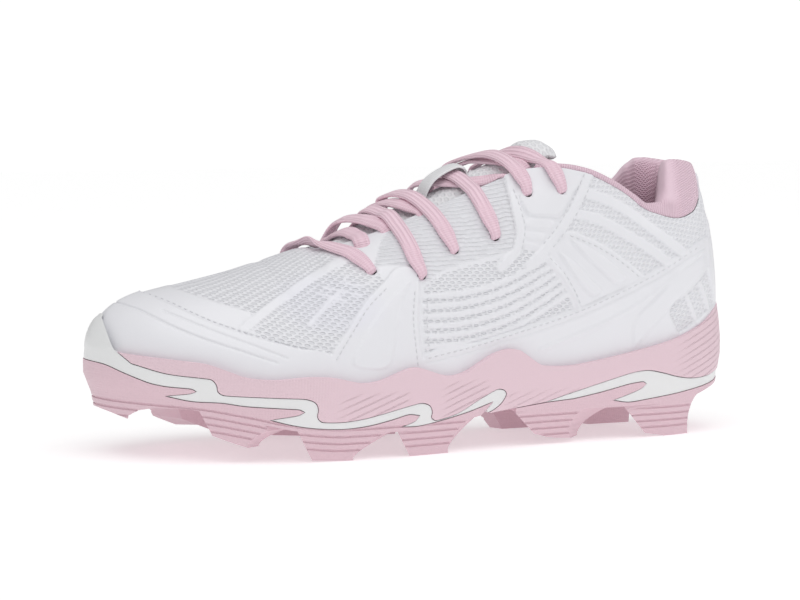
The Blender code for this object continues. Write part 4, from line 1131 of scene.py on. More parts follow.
def buildLoop():
    crown = [(row[0], row[1]) for row in tongueSections]
    places = [(x, alongTable(crown, [x])[0, 0] + above - loop["sink"]) for x, above in loopLine]
    line = smoothLine(places, 8)
    line = line[np.linspace(0, len(line) - 1, loop["along"] + 1).astype(int)]
    way = unitRows(np.gradient(line, axis=0))

    def place(u, v):
        i = nearest(u, loop["along"])
        turn = v * fullTurn
        across = blunted(np.cos(turn), loop["blunt"][0])
        deep = blunted(np.sin(turn), loop["blunt"][1]) * loop["thick"] / 2
        x = line[i, 0] + way[i, 1] * deep
        z = line[i, 1] - way[i, 0] * deep - loop["sag"] * across**2
        return np.column_stack([x, across * loop["width"] / 2, z])

    item, _, _ = addGrid("tongueLoop", loop["along"], loop["around"], place)
    mergeDoubles(item)
    closeEnds(item)
    smoothByAngle(item, degrees=50.0)
    return item


def paintLoop():
    made = Finish("whiteWebbing", loop["light"], 0.6)
    _, x, y, z = made.place()
    ribsAcross = (y * 5.2).wave() * (((x - z) * 4.0).sin() * 0.25 + 0.75)
    made.feed("Base Color", made.mixColour(ribsAcross, loop["dark"], loop["light"]))
    made.bump(ribsAcross, 0.15)
    return made.material


loopPiece = buildLoop()
finishPiece(loopPiece, paintLoop(), "overlay", ["tongue_loop"])
print("tongue and loop")

# Padded knit collar
collarSections = (
    # share of the half outline, top on the outer and the inner side, padding, set in from the upper's edge
    (0.000, 115.0, 115.0, 10.0, 2.4),
    (0.035, 115.5, 115.5, 10.0, 2.2),
    (0.055, 116.0, 116.0, 10.0, 1.0),
    (0.075, 116.5, 116.5, 9.8, 0.3),
    (0.095, 117.0, 117.0, 9.6, 0.2),
    (0.120, 117.2, 116.8, 8.2, 0.2),
    (0.135, 116.8, 115.1, 7.6, 0.2),
    (0.143, 115.2, 114.0, 7.6, 0.3),
    (0.151, 110.5, 112.6, 7.2, 0.3),
    (0.161, 103.4, 110.0, 6.6, 0.3),
    (0.173, 99.6, 107.4, 6.0, 0.1),
    (0.204, 99.4, 104.6, 5.4, 0.0),
    (0.235, 103.4, 106.8, 4.5, -0.2),
    (0.280, 109.8, 111.6, 3.6, -0.3),
    (0.320, 114.4, 115.0, 2.8, -0.3),
    (0.352, 116.2, 116.4, 2.2, -0.3),
    (0.385, 116.8, 117.0, 1.6, -0.3),
)
collar = {
    "along": 300,
    "back": 2.95,  # its outer face lies this far inside the upper's
    "lip": 0.28,
    "leastStand": 0.5,
    "tuck": (0.6, 0.8),  # shares of the lip and of the back where it turns over the upper's edge
    "closing": 0.012,
    "swell": (0.62, 0.05, 0.6),  # where the roll swells, its share of the stand, and the most of it
    "crest": 60,  # the place in a section that the knit is measured along
    "insideFrom": (0.56, 0.64),  # shares of the way round a section
    "insideTo": (0.97, 1.0),
}
collarOutside = (0.52, 0.74, 0.965)  # heights on the upper that its outer face follows
collarInside = ((0.93, 1.0), (0.74, 0.85), (0.56, 0.35))  # height on the upper, share of the padding
collarRoll = ((1.00, 0.16), (1.00, 0.55), (0.45, 1.02))  # share of the stand, share of the depth inwards


def collarRing(side, share, top, pad, setIn):
    def wall(height, depth):
        s, h = np.array([share]), np.array([height])
        return lastPoint(side, s, h)[0] - lastNormal(side, s, h)[0] * depth

    edge = wall(1.0, 0.0)
    out = edge - wall(1.0, 1.0)
    up = edge - wall(collarInside[0][0], 0.0)
    up /= np.linalg.norm(up)
    lip, back = collar["lip"], collar["back"]
    stand = max((top - edge[2]) / up[2], lip + collar["leastStand"])
    ring = [wall(height, back) for height in collarOutside]
    tuckHigh, tuckDeep = collar["tuck"]
    ring.append(edge + up * lip * tuckHigh - out * max(back * tuckDeep, setIn))
    ring.append(edge + up * lip - out * setIn)
    swellAt, swellShare, most = collar["swell"]
    swell = min(stand * swellShare, most)
    ring.append(edge + up * (lip + swellAt * (stand - lip)) + out * (swell - setIn))
    for high, deep in collarRoll:
        ring.append(edge + up * (lip + high * (stand - lip)) - out * (back + pad) * deep)
    ring += [wall(height, back + pad * part) for height, part in collarInside]
    return smoothLine(ring, 8, closed=True, corner=120.0)


def buildCollar():
    last = collarSections[-1][0]
    places = np.linspace(-last, last, collar["along"] + 1)
    rings, edges = [], []
    for place in places:
        outerTop, innerTop, pad, setIn = alongTable(collarSections, [abs(place)])[0]
        side = 1 if place <= 0 else -1
        ring = collarRing(side, abs(place), outerTop if side > 0 else innerTop, pad, setIn)
        edges.append(lastPoint(side, np.array([abs(place)]), np.ones(1))[0])
        closing = math.sqrt(np.clip((last - abs(place)) / collar["closing"], 0.0, 1.0))
        rings.append(ring.mean(0) + (ring - ring.mean(0)) * closing)
    rings = np.array(rings)
    count = rings.shape[1]
    walk = reachAlong(rings[:, collar["crest"]])
    rimWalk = reachAlong(edges)
    girth = np.linalg.norm(np.diff(np.concatenate([rings, rings[:, :1]], 1), axis=1), axis=2)
    girth = np.concatenate([np.zeros((len(rings), 1)), np.cumsum(girth, axis=1)], axis=1)

    def place(u, v):
        i = nearest(u, collar["along"])
        at = v * count
        low = np.floor(at).astype(int)
        part = (at - low)[:, None]
        return rings[i, low % count] * (1 - part) + rings[i, (low + 1) % count] * part

    item, u, v = addGrid("collarPad", collar["along"], count, place)
    i = nearest(u, collar["along"])
    j = nearest(v, count)
    away, rimShare = strokeDistance(place(u, v), edges)
    storeValue(item, "flat", np.column_stack([walk[i], girth[i, j], away]))
    storeValue(item, "fan", np.interp(rimShare * collar["along"], np.arange(len(edges)), rimWalk))
    within = smoothStep(*collar["insideFrom"], v) * (1 - smoothStep(*collar["insideTo"], v))
    storeValue(item, "inside", within)
    mergeDoubles(item)
    smoothByAngle(item, degrees=80.0)
    return item


knit = {
    "course": 1.0,
    "reach": (5.0, 9.0),  # how far from the rim its courses fade
    "heel": (-113.0, -106.0),  # x where they turn level
    "lean": 0.4,
    "comb": (1.4, 0.85, 0.95),
    "dark": (0.78, 0.575, 0.665),
    "light": (0.85, 0.655, 0.745),
    "between": (0.62, 0.40, 0.495),
    "inside": (0.93, 0.65, 0.77),
    # painted shade: the dark dots in the pits of the inner honeycomb
    "pitShade": (0.58, 0.31, 0.42),
}


def paintCollar():
    made = Finish("pinkKnit", knit["light"], 0.8, Sheen_Weight=0.25, Sheen_Roughness=0.5)
    body, x, _, z = made.place()
    _, along, around, away = made.place("flat")
    fan, inside = made.value("fan"), made.value("inside")
    heel = 1.0 - x.ramp(*knit["heel"])
    turns = fullTurn / knit["course"]
    fanned = (fan * turns).wave() * (1.0 - away.ramp(*knit["reach"]))
    level = ((z + x * knit["lean"]) * turns).wave()
    courses = (fanned * (1.0 - heel) + level * heel) * (1.0 - inside)
    yarn = made.noise(body, 2.4, 3.0)
    pits = brickCells(along, around, *knit["comb"]) * inside
    colour = made.mixColour(yarn, knit["dark"], knit["light"])
    colour = made.mixColour(courses * 0.6, colour, knit["between"])
    colour = made.mixColour(inside * 0.8, colour, knit["inside"])
    # painted shade in the pits of the inner honeycomb
    colour = made.mixColour(pits, colour, knit["pitShade"])
    made.feed("Base Color", colour)
    made.bump((1.0 - courses) * 0.5 + (1.0 - pits) * 0.6 + yarn * 0.15, 0.4)
    return made.material


collarPiece = buildCollar()
finishPiece(collarPiece, paintCollar(), "lining", ["collar"])
print("collar padded")


def mergedCopy(node, name):
    # a joined copy of a solid's loose triangles
    item = bpy.data.objects.new(name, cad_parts[node].data.copy())
    bpy.context.scene.collection.objects.link(item)
    mergeDoubles(item)
    return item


liner = {"dark": (0.66, 0.46, 0.54), "light": (0.80, 0.60, 0.68), "weave": 4.4}


def buildInsole():
    item = mergedCopy("insole", "sockLiner")
    applyModifier(item, "SUBSURF", levels=2, render_levels=2)
    smoothByAngle(item, degrees=60.0)
    return item


def paintInsole():
    made = Finish("pinkSockLiner", liner["light"], 0.85)
    _, x, y, _ = made.place()
    weave = crossed(x * liner["weave"], y * liner["weave"])
    made.feed("Base Color", made.mixColour(weave, liner["dark"], liner["light"]))
    made.bump(weave, 0.2)
    return made.material


insolePiece = buildInsole()
finishPiece(insolePiece, paintInsole(), "lining", ["insole"])

# Lace: routes of its strands over the tongue, in millimetres from the heel, outer hole to inner side
lace = {
    "width": 6.7,
    "thick": 1.9,
    "points": 76,
    "around": 20,
    "clear": 1.1,
    "pinch": 0.66,  # share of the width at a lace hole
    "pinchRun": (3.0, 12.0),
    "fatter": 0.35,  # how much thicker it gets where it is pinched
    "blunt": (0.6, 0.75),
    "sink": 3.0,  # how far a strand starts inside its hole, and where it leaves
    "leave": 0.2,
    "look": 14.0,  # how far above it looks for what it lies on
    "feel": (-0.4, 0.0, 0.4),  # shares of the width where it looks
    "tuck": 9,  # points at an end under another strand, and in a hole, that stay where they are
    "held": 6,
    "spread": 18,  # rounds of smoothing for the lift, the path and the facing
    "settle": 3,
    "calm": 30,
    "dark": (0.80, 0.555, 0.645),
    "light": (0.90, 0.67, 0.76),
}
laceRoutes = {
    # each strand leaves its own lace hole; the points after that are read from the photo
    "bar": ((1, 0), (-1, 0), (
        (176.0, 24.0, 78.2), (179.0, 19.0, 81.0), (184.8, 8.0, 84.0), (188.6, -6.0, 84.2),
        (190.5, -18.0, 81.0),
    )),
    "underBar": (None, None, (
        (175.0, -15.0, 84.5), (173.6, -6.0, 87.6), (172.6, 4.0, 88.6), (171.4, 13.0, 85.8),
        (172.2, 19.0, 81.6),
    )),
    "far2": ((-1, 1), None, (
        (172.0, -22.0, 84.5), (170.4, -15.0, 91.4), (168.4, -6.0, 93.6), (165.2, 6.0, 93.4),
        (160.4, 14.5, 90.2), (158.0, 18.6, 86.2),
    )),
    "near2": ((1, 1), None, (
        (154.6, 32.0, 76.0), (155.4, 26.5, 83.0), (156.7, 16.0, 91.0), (159.0, 3.0, 96.6),
        (160.8, -6.0, 97.0), (162.0, -13.0, 92.6), (163.0, -18.4, 87.0),
    )),
    "far3": ((-1, 2), None, (
        (156.6, -22.0, 90.0), (155.2, -15.0, 97.2), (152.8, -6.0, 99.8), (150.0, 6.0, 99.6),
        (144.6, 14.5, 96.6), (142.2, 19.0, 92.6),
    )),
    "near3": ((1, 2), None, (
        (138.6, 31.0, 85.0), (140.2, 25.0, 91.0), (142.6, 15.0, 97.6), (146.0, 3.0, 102.0),
        (148.0, -6.0, 102.4), (149.4, -13.0, 98.2), (150.4, -18.4, 92.4),
    )),
    "far4": ((-1, 3), None, (
        (137.6, -22.0, 99.0), (136.0, -15.0, 106.0), (133.4, -6.0, 108.0), (129.0, 2.0, 108.2),
        (122.5, 8.5, 108.2), (116.0, 12.5, 108.6), (110.0, 15.0, 109.8), (105.0, 17.0, 110.4),
        (102.5, 18.4, 107.4),
    )),
    "near4": ((1, 3), None, (
        (119.4, 31.0, 90.0), (121.4, 25.0, 98.6), (123.2, 16.0, 106.2), (125.0, 7.0, 110.4),
        (127.0, -3.0, 111.4), (128.4, -11.0, 107.6), (129.4, -17.6, 101.6),
    )),
    "far5": ((-1, 4), None, (
        (119.6, -23.0, 105.0), (118.2, -19.4, 110.4), (115.4, -16.0, 113.9), (111.3, -9.0, 116.6),
        (106.5, 2.0, 117.0), (101.5, 11.0, 116.2), (98.8, 15.6, 114.0), (97.6, 17.2, 110.6),
    )),
    "near5": ((1, 4), (-1, 4), (
        (102.6, 25.4, 108.4), (104.4, 19.6, 113.9), (106.0, 12.6, 117.8), (108.4, 3.0, 119.9),
        (112.1, -7.0, 118.5), (116.0, -15.0, 114.8), (118.8, -20.6, 110.6), (120.4, -24.4, 104.0),
    )),
    "top": ((1, 5), (-1, 5), (
        (88.6, 24.8, 110.9), (91.4, 20.2, 116.0), (94.6, 13.0, 118.8), (98.0, 7.0, 120.2),
        (101.0, -2.0, 119.8), (102.6, -12.0, 117.4), (103.6, -20.4, 111.6),
    )),
}
laceOrder = ("underBar", "bar", "far2", "far3", "far4", "far5", "near2", "near3", "near4", "top", "near5")


def laceHole(side, number):
    outerX, outerZ, innerX, innerZ = eyelets[number]
    x, z = (outerX, outerZ) if side > 0 else (innerX, innerZ)
    share, height = np.meshgrid(np.linspace(0.2, 0.75, 240), np.linspace(0.5, 1.0, 160))
    base = lastPoint(side, share.ravel(), height.ravel())
    best = np.argmin((base[:, 0] - x) ** 2 + (base[:, 2] - z) ** 2)
    out = lastNormal(side, share.ravel()[best:best + 1], height.ravel()[best:best + 1])[0]
    return base[best], out


def liftClear(path, facing, trees, kept):
    # lifts a strand along its facing off what lies under it; its ends stay where they are
    way = np.gradient(path, axis=0)
    over = np.cross(unitRows(way), facing)
    lift = np.zeros(len(path))
    for i in range(kept[0], len(path) - kept[1]):
        for part in lace["feel"]:
            spot = Vector(toRow(path[i] + over[i] * lace["width"] * part + facing[i] * lace["look"]))
            for tree in trees:
                away = tree.ray_cast(spot, Vector(-facing[i]), 2 * lace["look"] * mm)[3]
                if away is not None:
                    lift[i] = max(lift[i], lace["look"] + lace["clear"] - away / mm)
    for _ in range(lace["spread"]):
        lift[1:-1] = np.maximum(lift[1:-1], (lift[:-2] + 2 * lift[1:-1] + lift[2:]) / 4)
    index = np.arange(len(path))
    lift *= smoothStep(0, kept[0] + 1, index) * smoothStep(0, kept[1] + 1, len(path) - 1 - index)
    path = path + facing * lift[:, None]
    for _ in range(lace["settle"]):
        path[1:-1] = (path[:-2] + 4 * path[1:-1] + path[2:]) / 6
    return path


def laceFacing(path, trees):
    facing = []
    for point in path:
        spot = Vector(toRow(point))
        hits = [tree.find_nearest(spot) for tree in trees]
        near = min(hits, key=lambda hit: hit[3])
        facing.append(np.array(near[1]))
    facing = np.array(facing)
    for _ in range(lace["calm"]):
        facing[1:-1] = (facing[:-2] + 2 * facing[1:-1] + facing[2:]) / 4
    return unitRows(facing)


def strandMesh(name, path, facing, pinched):
    way = unitRows(np.gradient(path, axis=0))
    facing = unitRows(facing - way * np.sum(facing * way, axis=1, keepdims=True))
    over = np.cross(way, facing)
    reach = reachAlong(path)
    squeeze = np.ones(len(path))
    for at, there in zip((reach, reach[-1] - reach), pinched):
        if there:
            squeeze *= lace["pinch"] + (1 - lace["pinch"]) * smoothStep(*lace["pinchRun"], at)

    def place(u, v):
        i = nearest(u, len(path) - 1)
        turn = v * fullTurn
        wide = blunted(np.cos(turn), lace["blunt"][0]) * lace["width"] / 2 * squeeze[i]
        fuller = 1 + lace["fatter"] - lace["fatter"] * squeeze[i]
        tall = blunted(np.sin(turn), lace["blunt"][1]) * lace["thick"] / 2 * fuller
        return path[i] + over[i] * wide[:, None] + facing[i] * tall[:, None]

    item, u, v = addGrid(name, len(path) - 1, lace["around"], place)
    i = nearest(u, len(path) - 1)
    flat = np.column_stack([reach[i], np.cos(v * fullTurn), np.minimum(reach[i], reach[-1] - reach[i])])
    storeValue(item, "flat", flat)
    mergeDoubles(item)
    closeEnds(item)
    return item


def buildLace():
    ground = [upperTree, treeOf(tonguePiece)]
    strands = []
    for name in laceOrder:
        start, end, points = laceRoutes[name]
        route = [np.array(point) for point in points]
        for hole, first in ((start, True), (end, False)):
            if hole is None:
                continue
            middle, out = laceHole(*hole)
            entry = [middle - out * lace["sink"], middle + out * lace["leave"]]
            route = entry + route if first else route + entry[::-1]
        line = smoothLine(route, 12, corner=150.0)
        reach = reachAlong(line)
        at = np.linspace(0, reach[-1], lace["points"])
        path = np.column_stack([np.interp(at, reach, line[:, k]) for k in range(3)])
        below = ground + [treeOf(strand) for strand in strands]
        kept = [lace["held"] if hole else lace["tuck"] for hole in (start, end)]
        path = liftClear(path, laceFacing(path, ground), below, kept)
        strands.append(strandMesh("lace_" + name, path, laceFacing(path, ground), (start, end)))
    activate(strands[0])
    for strand in strands[1:]:
        strand.select_set(True)
    bpy.ops.object.join()
    item = bpy.context.object
    item.name = item.data.name = "lacedCord"
    smoothByAngle(item, degrees=60.0)
    return item


def paintLace():
    made = Finish("pinkBraid", lace["light"], 0.75, Sheen_Weight=0.2, Sheen_Roughness=0.5)
    _, along, across, toEnd = made.place("flat")
    lines = (across * 15.7).wave().ramp(0.0, 0.5)
    weave = crossed(along * 3.1 + across * 5.5, along * 3.1 - across * 5.5)
    near = 1.0 - toEnd.ramp(12.0, 22.0)
    braid = lines * (1.0 - near) * 0.8 + weave * (near * 0.8 + 0.2)
    made.feed("Base Color", made.mixColour(braid, lace["dark"], lace["light"]))
    made.bump(braid, 0.3)
    return made.material


lacePiece = buildLace()
finishPiece(lacePiece, paintLace(), "lace", [
    "lace_bar_1", "lace_cross_2", "lace_cross_3", "lace_cross_4", "lace_cross_5", "lace_bar_6",
])
print("lace drawn", len(lacePiece.data.polygons), "faces")

# The sole: layers cut from one smooth form by their outlines seen from the side
sole = {"columns": 220, "reach": 70.0, "toe": 286.0, "heel": -6.0, "floor": -6.0, "bandInset": 0.35}
formLevels = (
    # height, inset of the sole's side from its edge
    (-8.0, 7.0),
    (0.0, 5.6),
    (14.0, 3.0),
    (24.0, 1.4),
    (33.0, 0.0),
    (40.0, 0.0),
    (48.0, 0.7),
    (60.0, 2.4),
)
studGrooves = {
    "heights": (4.2, 7.0, 9.8, 12.6),
    "deep": 0.6,
    "half": 0.55,
    "profile": ((-1, 0.0), (-0.4, 1.0), (0.4, 1.0), (1, 0.0)),
}
springFade = (14.0, 33.0)
toeSpring = ((-10.0, 0.0), (190.0, 0.0), (210.0, 1.8), (230.0, 6.0), (250.0, 9.4), (290.0, 11.5))
rim = (
    (272.6, 43.2), (257.0, 41.6), (244.0, 40.0), (237.0, 37.4), (230.0, 34.8), (220.0, 33.7), (206.0, 34.5),
    (196.0, 33.9), (184.0, 31.3), (176.0, 32.0), (164.0, 36.0), (159.0, 36.3), (149.0, 33.0), (143.0, 32.0),
    (136.0, 33.6), (124.0, 39.6), (116.5, 41.4), (111.0, 40.6), (101.0, 34.2), (94.0, 33.1), (84.0, 33.0),
    (61.0, 36.3), (37.0, 41.2), (20.0, 47.2), (10.0, 53.0), (-5.0, 57.0),
)
bandTop = (
    (268.9, 39.2), (258.0, 35.8), (243.2, 34.0), (241.2, 31.8), (240.4, 29.0), (238.4, 27.6), (222.0, 26.6),
    (207.5, 25.7), (203.6, 24.0), (202.4, 21.2), (202.6, 18.4), (200.8, 16.3), (192.0, 15.8), (181.0, 17.0),
    (163.0, 20.8), (157.2, 21.6), (153.4, 20.2), (152.2, 17.6), (152.4, 15.4), (150.4, 14.0), (140.0, 16.2),
    (130.0, 21.2), (121.5, 25.0), (118.2, 24.4), (117.0, 22.6), (119.0, 19.2), (122.5, 16.6), (125.6, 15.4),
)
bandFoot = (
    (126.0, 17.0), (123.2, 19.9), (135.0, 16.4), (151.0, 13.2), (159.0, 12.2), (165.8, 12.4), (160.0, 14.4),
    (158.0, 16.6), (163.0, 17.3), (171.0, 15.5), (181.0, 13.7), (192.0, 13.0), (203.0, 13.7), (212.0, 15.2),
    (221.0, 17.6), (210.2, 19.3), (207.8, 20.5), (210.0, 21.6), (230.5, 23.2), (239.0, 24.5), (249.0, 24.9),
    (258.0, 26.8), (250.0, 28.0), (247.8, 29.0), (249.6, 30.0), (258.0, 30.7), (263.5, 31.9), (271.5, 35.5),
    (277.0, 38.3), (286.0, 39.2),
)
heelBandTop = (
    (98.0, 18.0), (84.0, 21.6), (57.0, 28.2), (48.5, 28.9), (41.0, 27.4), (33.5, 25.4), (25.5, 24.2),
    (16.0, 24.5), (-6.0, 29.0),
)
heelBandFoot = (
    (-6.0, 24.6), (15.0, 20.8), (32.0, 18.4), (47.0, 16.6), (57.0, 15.7), (65.0, 17.0), (58.4, 18.8),
    (51.4, 21.2), (49.0, 23.1), (50.4, 24.1), (57.0, 23.6), (71.0, 20.8), (84.0, 18.7),
)
baseFore = (
    (286.0, 23.0), (277.0, 20.5), (270.0, 21.0), (250.0, 21.6), (230.0, 17.4), (210.0, 12.8), (190.0, 11.0),
    (165.0, 10.6), (150.0, 11.2), (128.5, 14.6),
)
baseHeel = ((112.0, 15.0), (90.0, 14.4), (58.0, 14.0), (30.0, 14.8), (14.0, 19.0), (-6.0, 23.4))
heelFront = ((112.0, 16.55), (98.0, 17.9))
archFloor = ((113.0, 16.4), (124.0, 15.2))
bumper = {
    "foot": 4.0,  # how far it stands off the upper, low down and high up
    "top": 1.5,
    "low": 44.0,
    "high": 60.0,
    "seam": 44.2,
    "back": 273.0,
    "past": 290.0,
    "sink": 38.0,
    "over": (1.0, 1.5),  # how far its outline goes on past the highest place read, forward and up
}
bumperEdge = (
    # its rear edge in pixels of the photo
    (96, 303), (100, 313), (105, 327), (109, 338), (113, 348), (121, 359),
)
studs = (
    # name, front at the base, front and back at the foot, back at the base, foot height at front and back,
    # how round its hollow back is, hidden side
    ("front", 249.0, 243.5, 222.8, 210.0, 11.2, 6.4, 0.55, 10.0),
    ("ball", 208.8, 203.0, 184.5, 166.0, 0.8, 0.0, 0.2, 25.0),
    ("waist", 165.5, 160.0, 141.0, 126.0, 0.0, 0.0, 0.32, 22.0),
    ("heelFront", 110.5, 100.5, 78.0, 58.5, 3.2, 2.0, 0.7, 15.0),
    ("heelBack", 57.0, 46.2, 23.0, 8.0, 0.0, 0.0, 1.0, 12.0),
)
innerShift = {"front": 2.0, "ball": -4.0, "waist": 0.0, "heelFront": -5.0, "heelBack": 8.0}
innerFeet = {"heelFront": (0.0, 0.0)}  # where the inner stud stands lower
toeStud = (279.5, 276.0, 268.5, 258.0, 19.6, 16.4, 1.0)
studCut = {
    "bevel": 5.5,
    "bite": 0.4,
    "foot": 2.0,
    "draft": 0.28,
    "root": 45.0,
    "depth": 22.0,
    "arc": 10,
    "rake": 0.42,  # how much the front face runs back on its way in
}
studSweep = {
    # how far the back bevel leans forward, at the foot and at the base
    "front": (19.0, 24.0),
    "heelFront": (10.0, 26.0),
}
plainSweep = (4.0, 12.0)
studTip = {
    # run and rise of the chamfer at the front of an outer stud's foot
    "heelFront": (4.5, 1.5),
    "heelBack": (8.0, 1.8),
}
slab = {"top": 50.0, "reach": 8.0}


def insetRing(ring, distance):
    ring = np.asarray(ring, float)
    area = np.sum(ring[:, 0] * np.roll(ring[:, 1], -1) - np.roll(ring[:, 0], -1) * ring[:, 1])
    edge = np.roll(ring, -1, 0) - ring
    edge /= np.maximum(np.linalg.norm(edge, axis=1, keepdims=True), tiny)
    normal = np.stack([-edge[:, 1], edge[:, 0]], 1) * math.copysign(1.0, area)
    bend = normal + np.roll(normal, 1, 0)
    return ring + bend / np.maximum(np.sum(bend * bend, 1) / 2, 0.5)[:, None] * distance


def sidePrism(name, ring):
    ring = np.asarray(ring, float)
    sides = (np.full(len(ring), y) for y in (-sole["reach"], sole["reach"]))
    return addLoft(name, [np.stack([ring[:, 0], side, ring[:, 1]], 1) for side in sides])


def soleForm(inset=0.0, grooved=False):
    table = list(formLevels)
    heights, insets = zip(*formLevels)
    if grooved:
        for middle in studGrooves["heights"]:
            for shift, deep in studGrooves["profile"]:
                z = middle + shift * studGrooves["half"]
                table.append((z, np.interp(z, heights, insets) + deep * studGrooves["deep"]))
    points, normals = edgeAt(np.arange(sole["columns"]) * 2.0 / sole["columns"])
    spring = alongTable(toeSpring, points[:, 0])[:, 0]
    rings = []
    for z, deep in sorted(table):
        follows = np.interp(z, springFade, (1.0, 0.0))
        rings.append(np.column_stack([points - normals * (deep + inset), z + spring * follows]))
    return addLoft("soleForm", rings)


def filledUpper(offset, topOffset=None):
    # the upper's outer form with its openings closed, moved out by an offset that may change upwards
    half, rows = 90, 24
    rings = []
    shares = np.linspace(0, 1, half + 1)
    for height in np.linspace(0, 1, rows + 1):
        level = np.full(half + 1, height)
        sides = []
        for s in (1, -1):
            face = lastPoint(s, shares, level)
            span = (offset, offset if topOffset is None else topOffset)
            lift = np.interp(face[:, 2], (bumper["low"], bumper["high"]), span)
            sides.append(face + lift[:, None] * lastNormal(s, shares, level))
        rings.append(np.vstack([sides[0], sides[1][-2:0:-1]]))
    rings = np.stack(rings)
    columns = rings.shape[1]
    faces = ringFaces(rows, columns)
    throat = int(round(shoe["throatEnd"] * half))
    for first, stop in ((0, half), (rows * columns, throat)):
        for j in range(stop):
            a, b = first + j, first + j + 1
            c, d = first + (columns - j - 1) % columns, first + (columns - j) % columns
            faces.append([v for k, v in enumerate((a, b, c, d)) if v not in (a, b, c, d)[:k]])
    item = addMesh("filledUpper", rings.reshape(-1, 3), faces)
    mergeDoubles(item)
    return item


def baseHeights():
    rows = np.array(sorted(baseFore + baseHeel))
    return rows[:, 0], rows[:, 1] + studCut["bite"]


def studSide(frontTop, frontFoot, backFoot, backTop, footFront, footBack, arch, tip=None):
    ring = [(frontTop, studCut["root"]), (frontTop, np.interp(frontTop, *baseHeights()))]
    if tip:
        ring += [(frontFoot, footFront + tip[1]), (frontFoot - tip[0], footFront)]
    else:
        ring.append((frontFoot, footFront))
    topBack = np.interp(backTop, *baseHeights())
    for k in range(studCut["arc"] + 1):
        turn = math.pi / 2 * k / studCut["arc"]
        run = 1 - math.cos(turn)
        rise = arch * math.sin(turn) + (1 - arch) * run
        ring.append((backFoot - (backFoot - backTop) * run, footBack + (topBack - footBack) * rise))
    return ring + [(backTop, studCut["root"])]


def studBlock(side, row, shift, near, lean, tip):
    ring = np.array(studSide(*row, tip)) + (shift, 0.0)
    depth = np.clip(studCut["depth"] - ring[:, 1], 0.0, None)
    middle = ring[:, 0].mean()
    outer, inner = alongTable(soleEdge, [middle])[0]
    face = (outer if side > 0 else inner) - formLevels[1][1] - middleLine(middle) * side
    sweep = np.zeros(len(ring))
    sweep[-studCut["arc"] - 2:-1] = np.linspace(*lean, studCut["arc"] + 1)
    sweep[-1] = lean[1]
    bevel = studCut["bevel"]
    hidden = np.minimum(near + studCut["draft"] * depth, face - bevel - studCut["foot"])
    front = np.zeros(len(ring))
    front[:3] = studCut["rake"]
    ends = []
    for across, forward in ((hidden, 0.0), (face - bevel, 0.0), (face + bevel, sweep)):
        y = side * (across + np.zeros(len(ring))) + middleLine(ring[:, 0])
        ends.append(np.column_stack([ring[:, 0] + forward - front * (face - across), y, ring[:, 1]]))
    return addLoft("studBlock", ends)


def soleLayer(name, ring, inset):
    item = sidePrism(name, insetRing(ring, shoe["gap"] / 2))
    carve(item, "INTERSECT", soleForm(inset))
    return item


def buildOutsole(name, ring, base, chosen):
    (front, _), (back, backZ) = base[0], base[-1]
    behind = [(back - slab["reach"], backZ), (back - slab["reach"], slab["top"])]
    item = sidePrism(name, [*smoothLine(base, 5), *behind, (front, slab["top"])])
    for label, *row, near in studs:
        if label in chosen:
            *lengths, footFront, footBack, arch = row
            outer = (0.0, footFront, footBack)
            inner = (innerShift[label], *innerFeet.get(label, outer[1:]))
            lean = studSweep.get(label, plainSweep)
            pair = ((1, outer, studTip.get(label)), (-1, inner, None))
            for side, (shift, *feet), tip in pair:
                carve(item, "UNION", studBlock(side, [*lengths, *feet, arch], shift, near, lean, tip))
    if "toe" in chosen:
        carve(item, "UNION", sidePrism("toeStud", studSide(*toeStud)))
    carve(item, "INTERSECT", soleForm(grooved=True))
    carve(item, "INTERSECT", sidePrism("below", insetRing(ring, shoe["gap"] / 2)))
    return item


def bumperRing(tree):
    # the toe bumper's outline seen from the side, from its edge in the photo
    hits = [tree.ray_cast(camPlace, pixelRay(pixel))[0] for pixel in smoothLine(bumperEdge, 3)]
    edge = [fromRow(point)[[0, 2]] for point in hits if point]
    past, low = bumper["past"], bumper["sink"]
    corner = edge[0] + bumper["over"]
    return [(past, low), (past, corner[1]), tuple(corner), *edge, (edge[-1][0], low)]


def buildSole():
    made = {}
    edges = {
        "rim": smoothLine(rim), "bandTop": smoothLine(bandTop), "bandFoot": smoothLine(bandFoot),
        "heelTop": smoothLine(heelBandTop), "heelFoot": smoothLine(heelBandFoot),
    }
    under = [(sole["toe"], sole["floor"]), (baseFore[-1][0], sole["floor"]), baseFore[-1]]
    made["midsole"] = soleLayer("midsoleFoam", np.vstack([
        edges["rim"], edges["heelTop"][::-1], archFloor, edges["bandTop"][-2::-1]]), 0.0)
    carve(made["midsole"], "DIFFERENCE", filledUpper(shoe["gap"]))
    toeTop = [(sole["toe"], bumper["seam"]), (bumper["back"], bumper["seam"]), rim[0]]
    foreRing = np.vstack([edges["bandTop"], edges["bandFoot"], toeTop])
    fore = soleLayer("sideBandFore", foreRing, sole["bandInset"])
    block = filledUpper(bumper["foot"], bumper["top"])
    carve(block, "INTERSECT", sidePrism("bumperSide", bumperRing(treeOf(block))))
    carve(fore, "UNION", block)
    carve(fore, "DIFFERENCE", filledUpper(shoe["gap"]))
    made["band_fore"] = fore
    heelRing = np.vstack([edges["heelTop"], edges["heelFoot"]])
    made["band_heel"] = soleLayer("sideBandHeel", heelRing, sole["bandInset"])
    made["outsole_fore"] = buildOutsole(
        "outsoleFore", np.vstack([edges["bandFoot"], under]), baseFore, ("front", "ball", "waist", "toe"))
    front = heelFront[0][0]
    below = [(sole["heel"], sole["floor"]), (front, sole["floor"])]
    treadRing = np.vstack([heelFront, edges["heelFoot"][::-1], below])
    made["outsole_heel"] = buildOutsole("outsoleHeel", treadRing, baseHeel, ("heelFront", "heelBack"))
    for item in made.values():
        mergeDoubles(item, reach=2e-6, recalc=False)
        smoothByAngle(item, degrees=32.0)
    return made


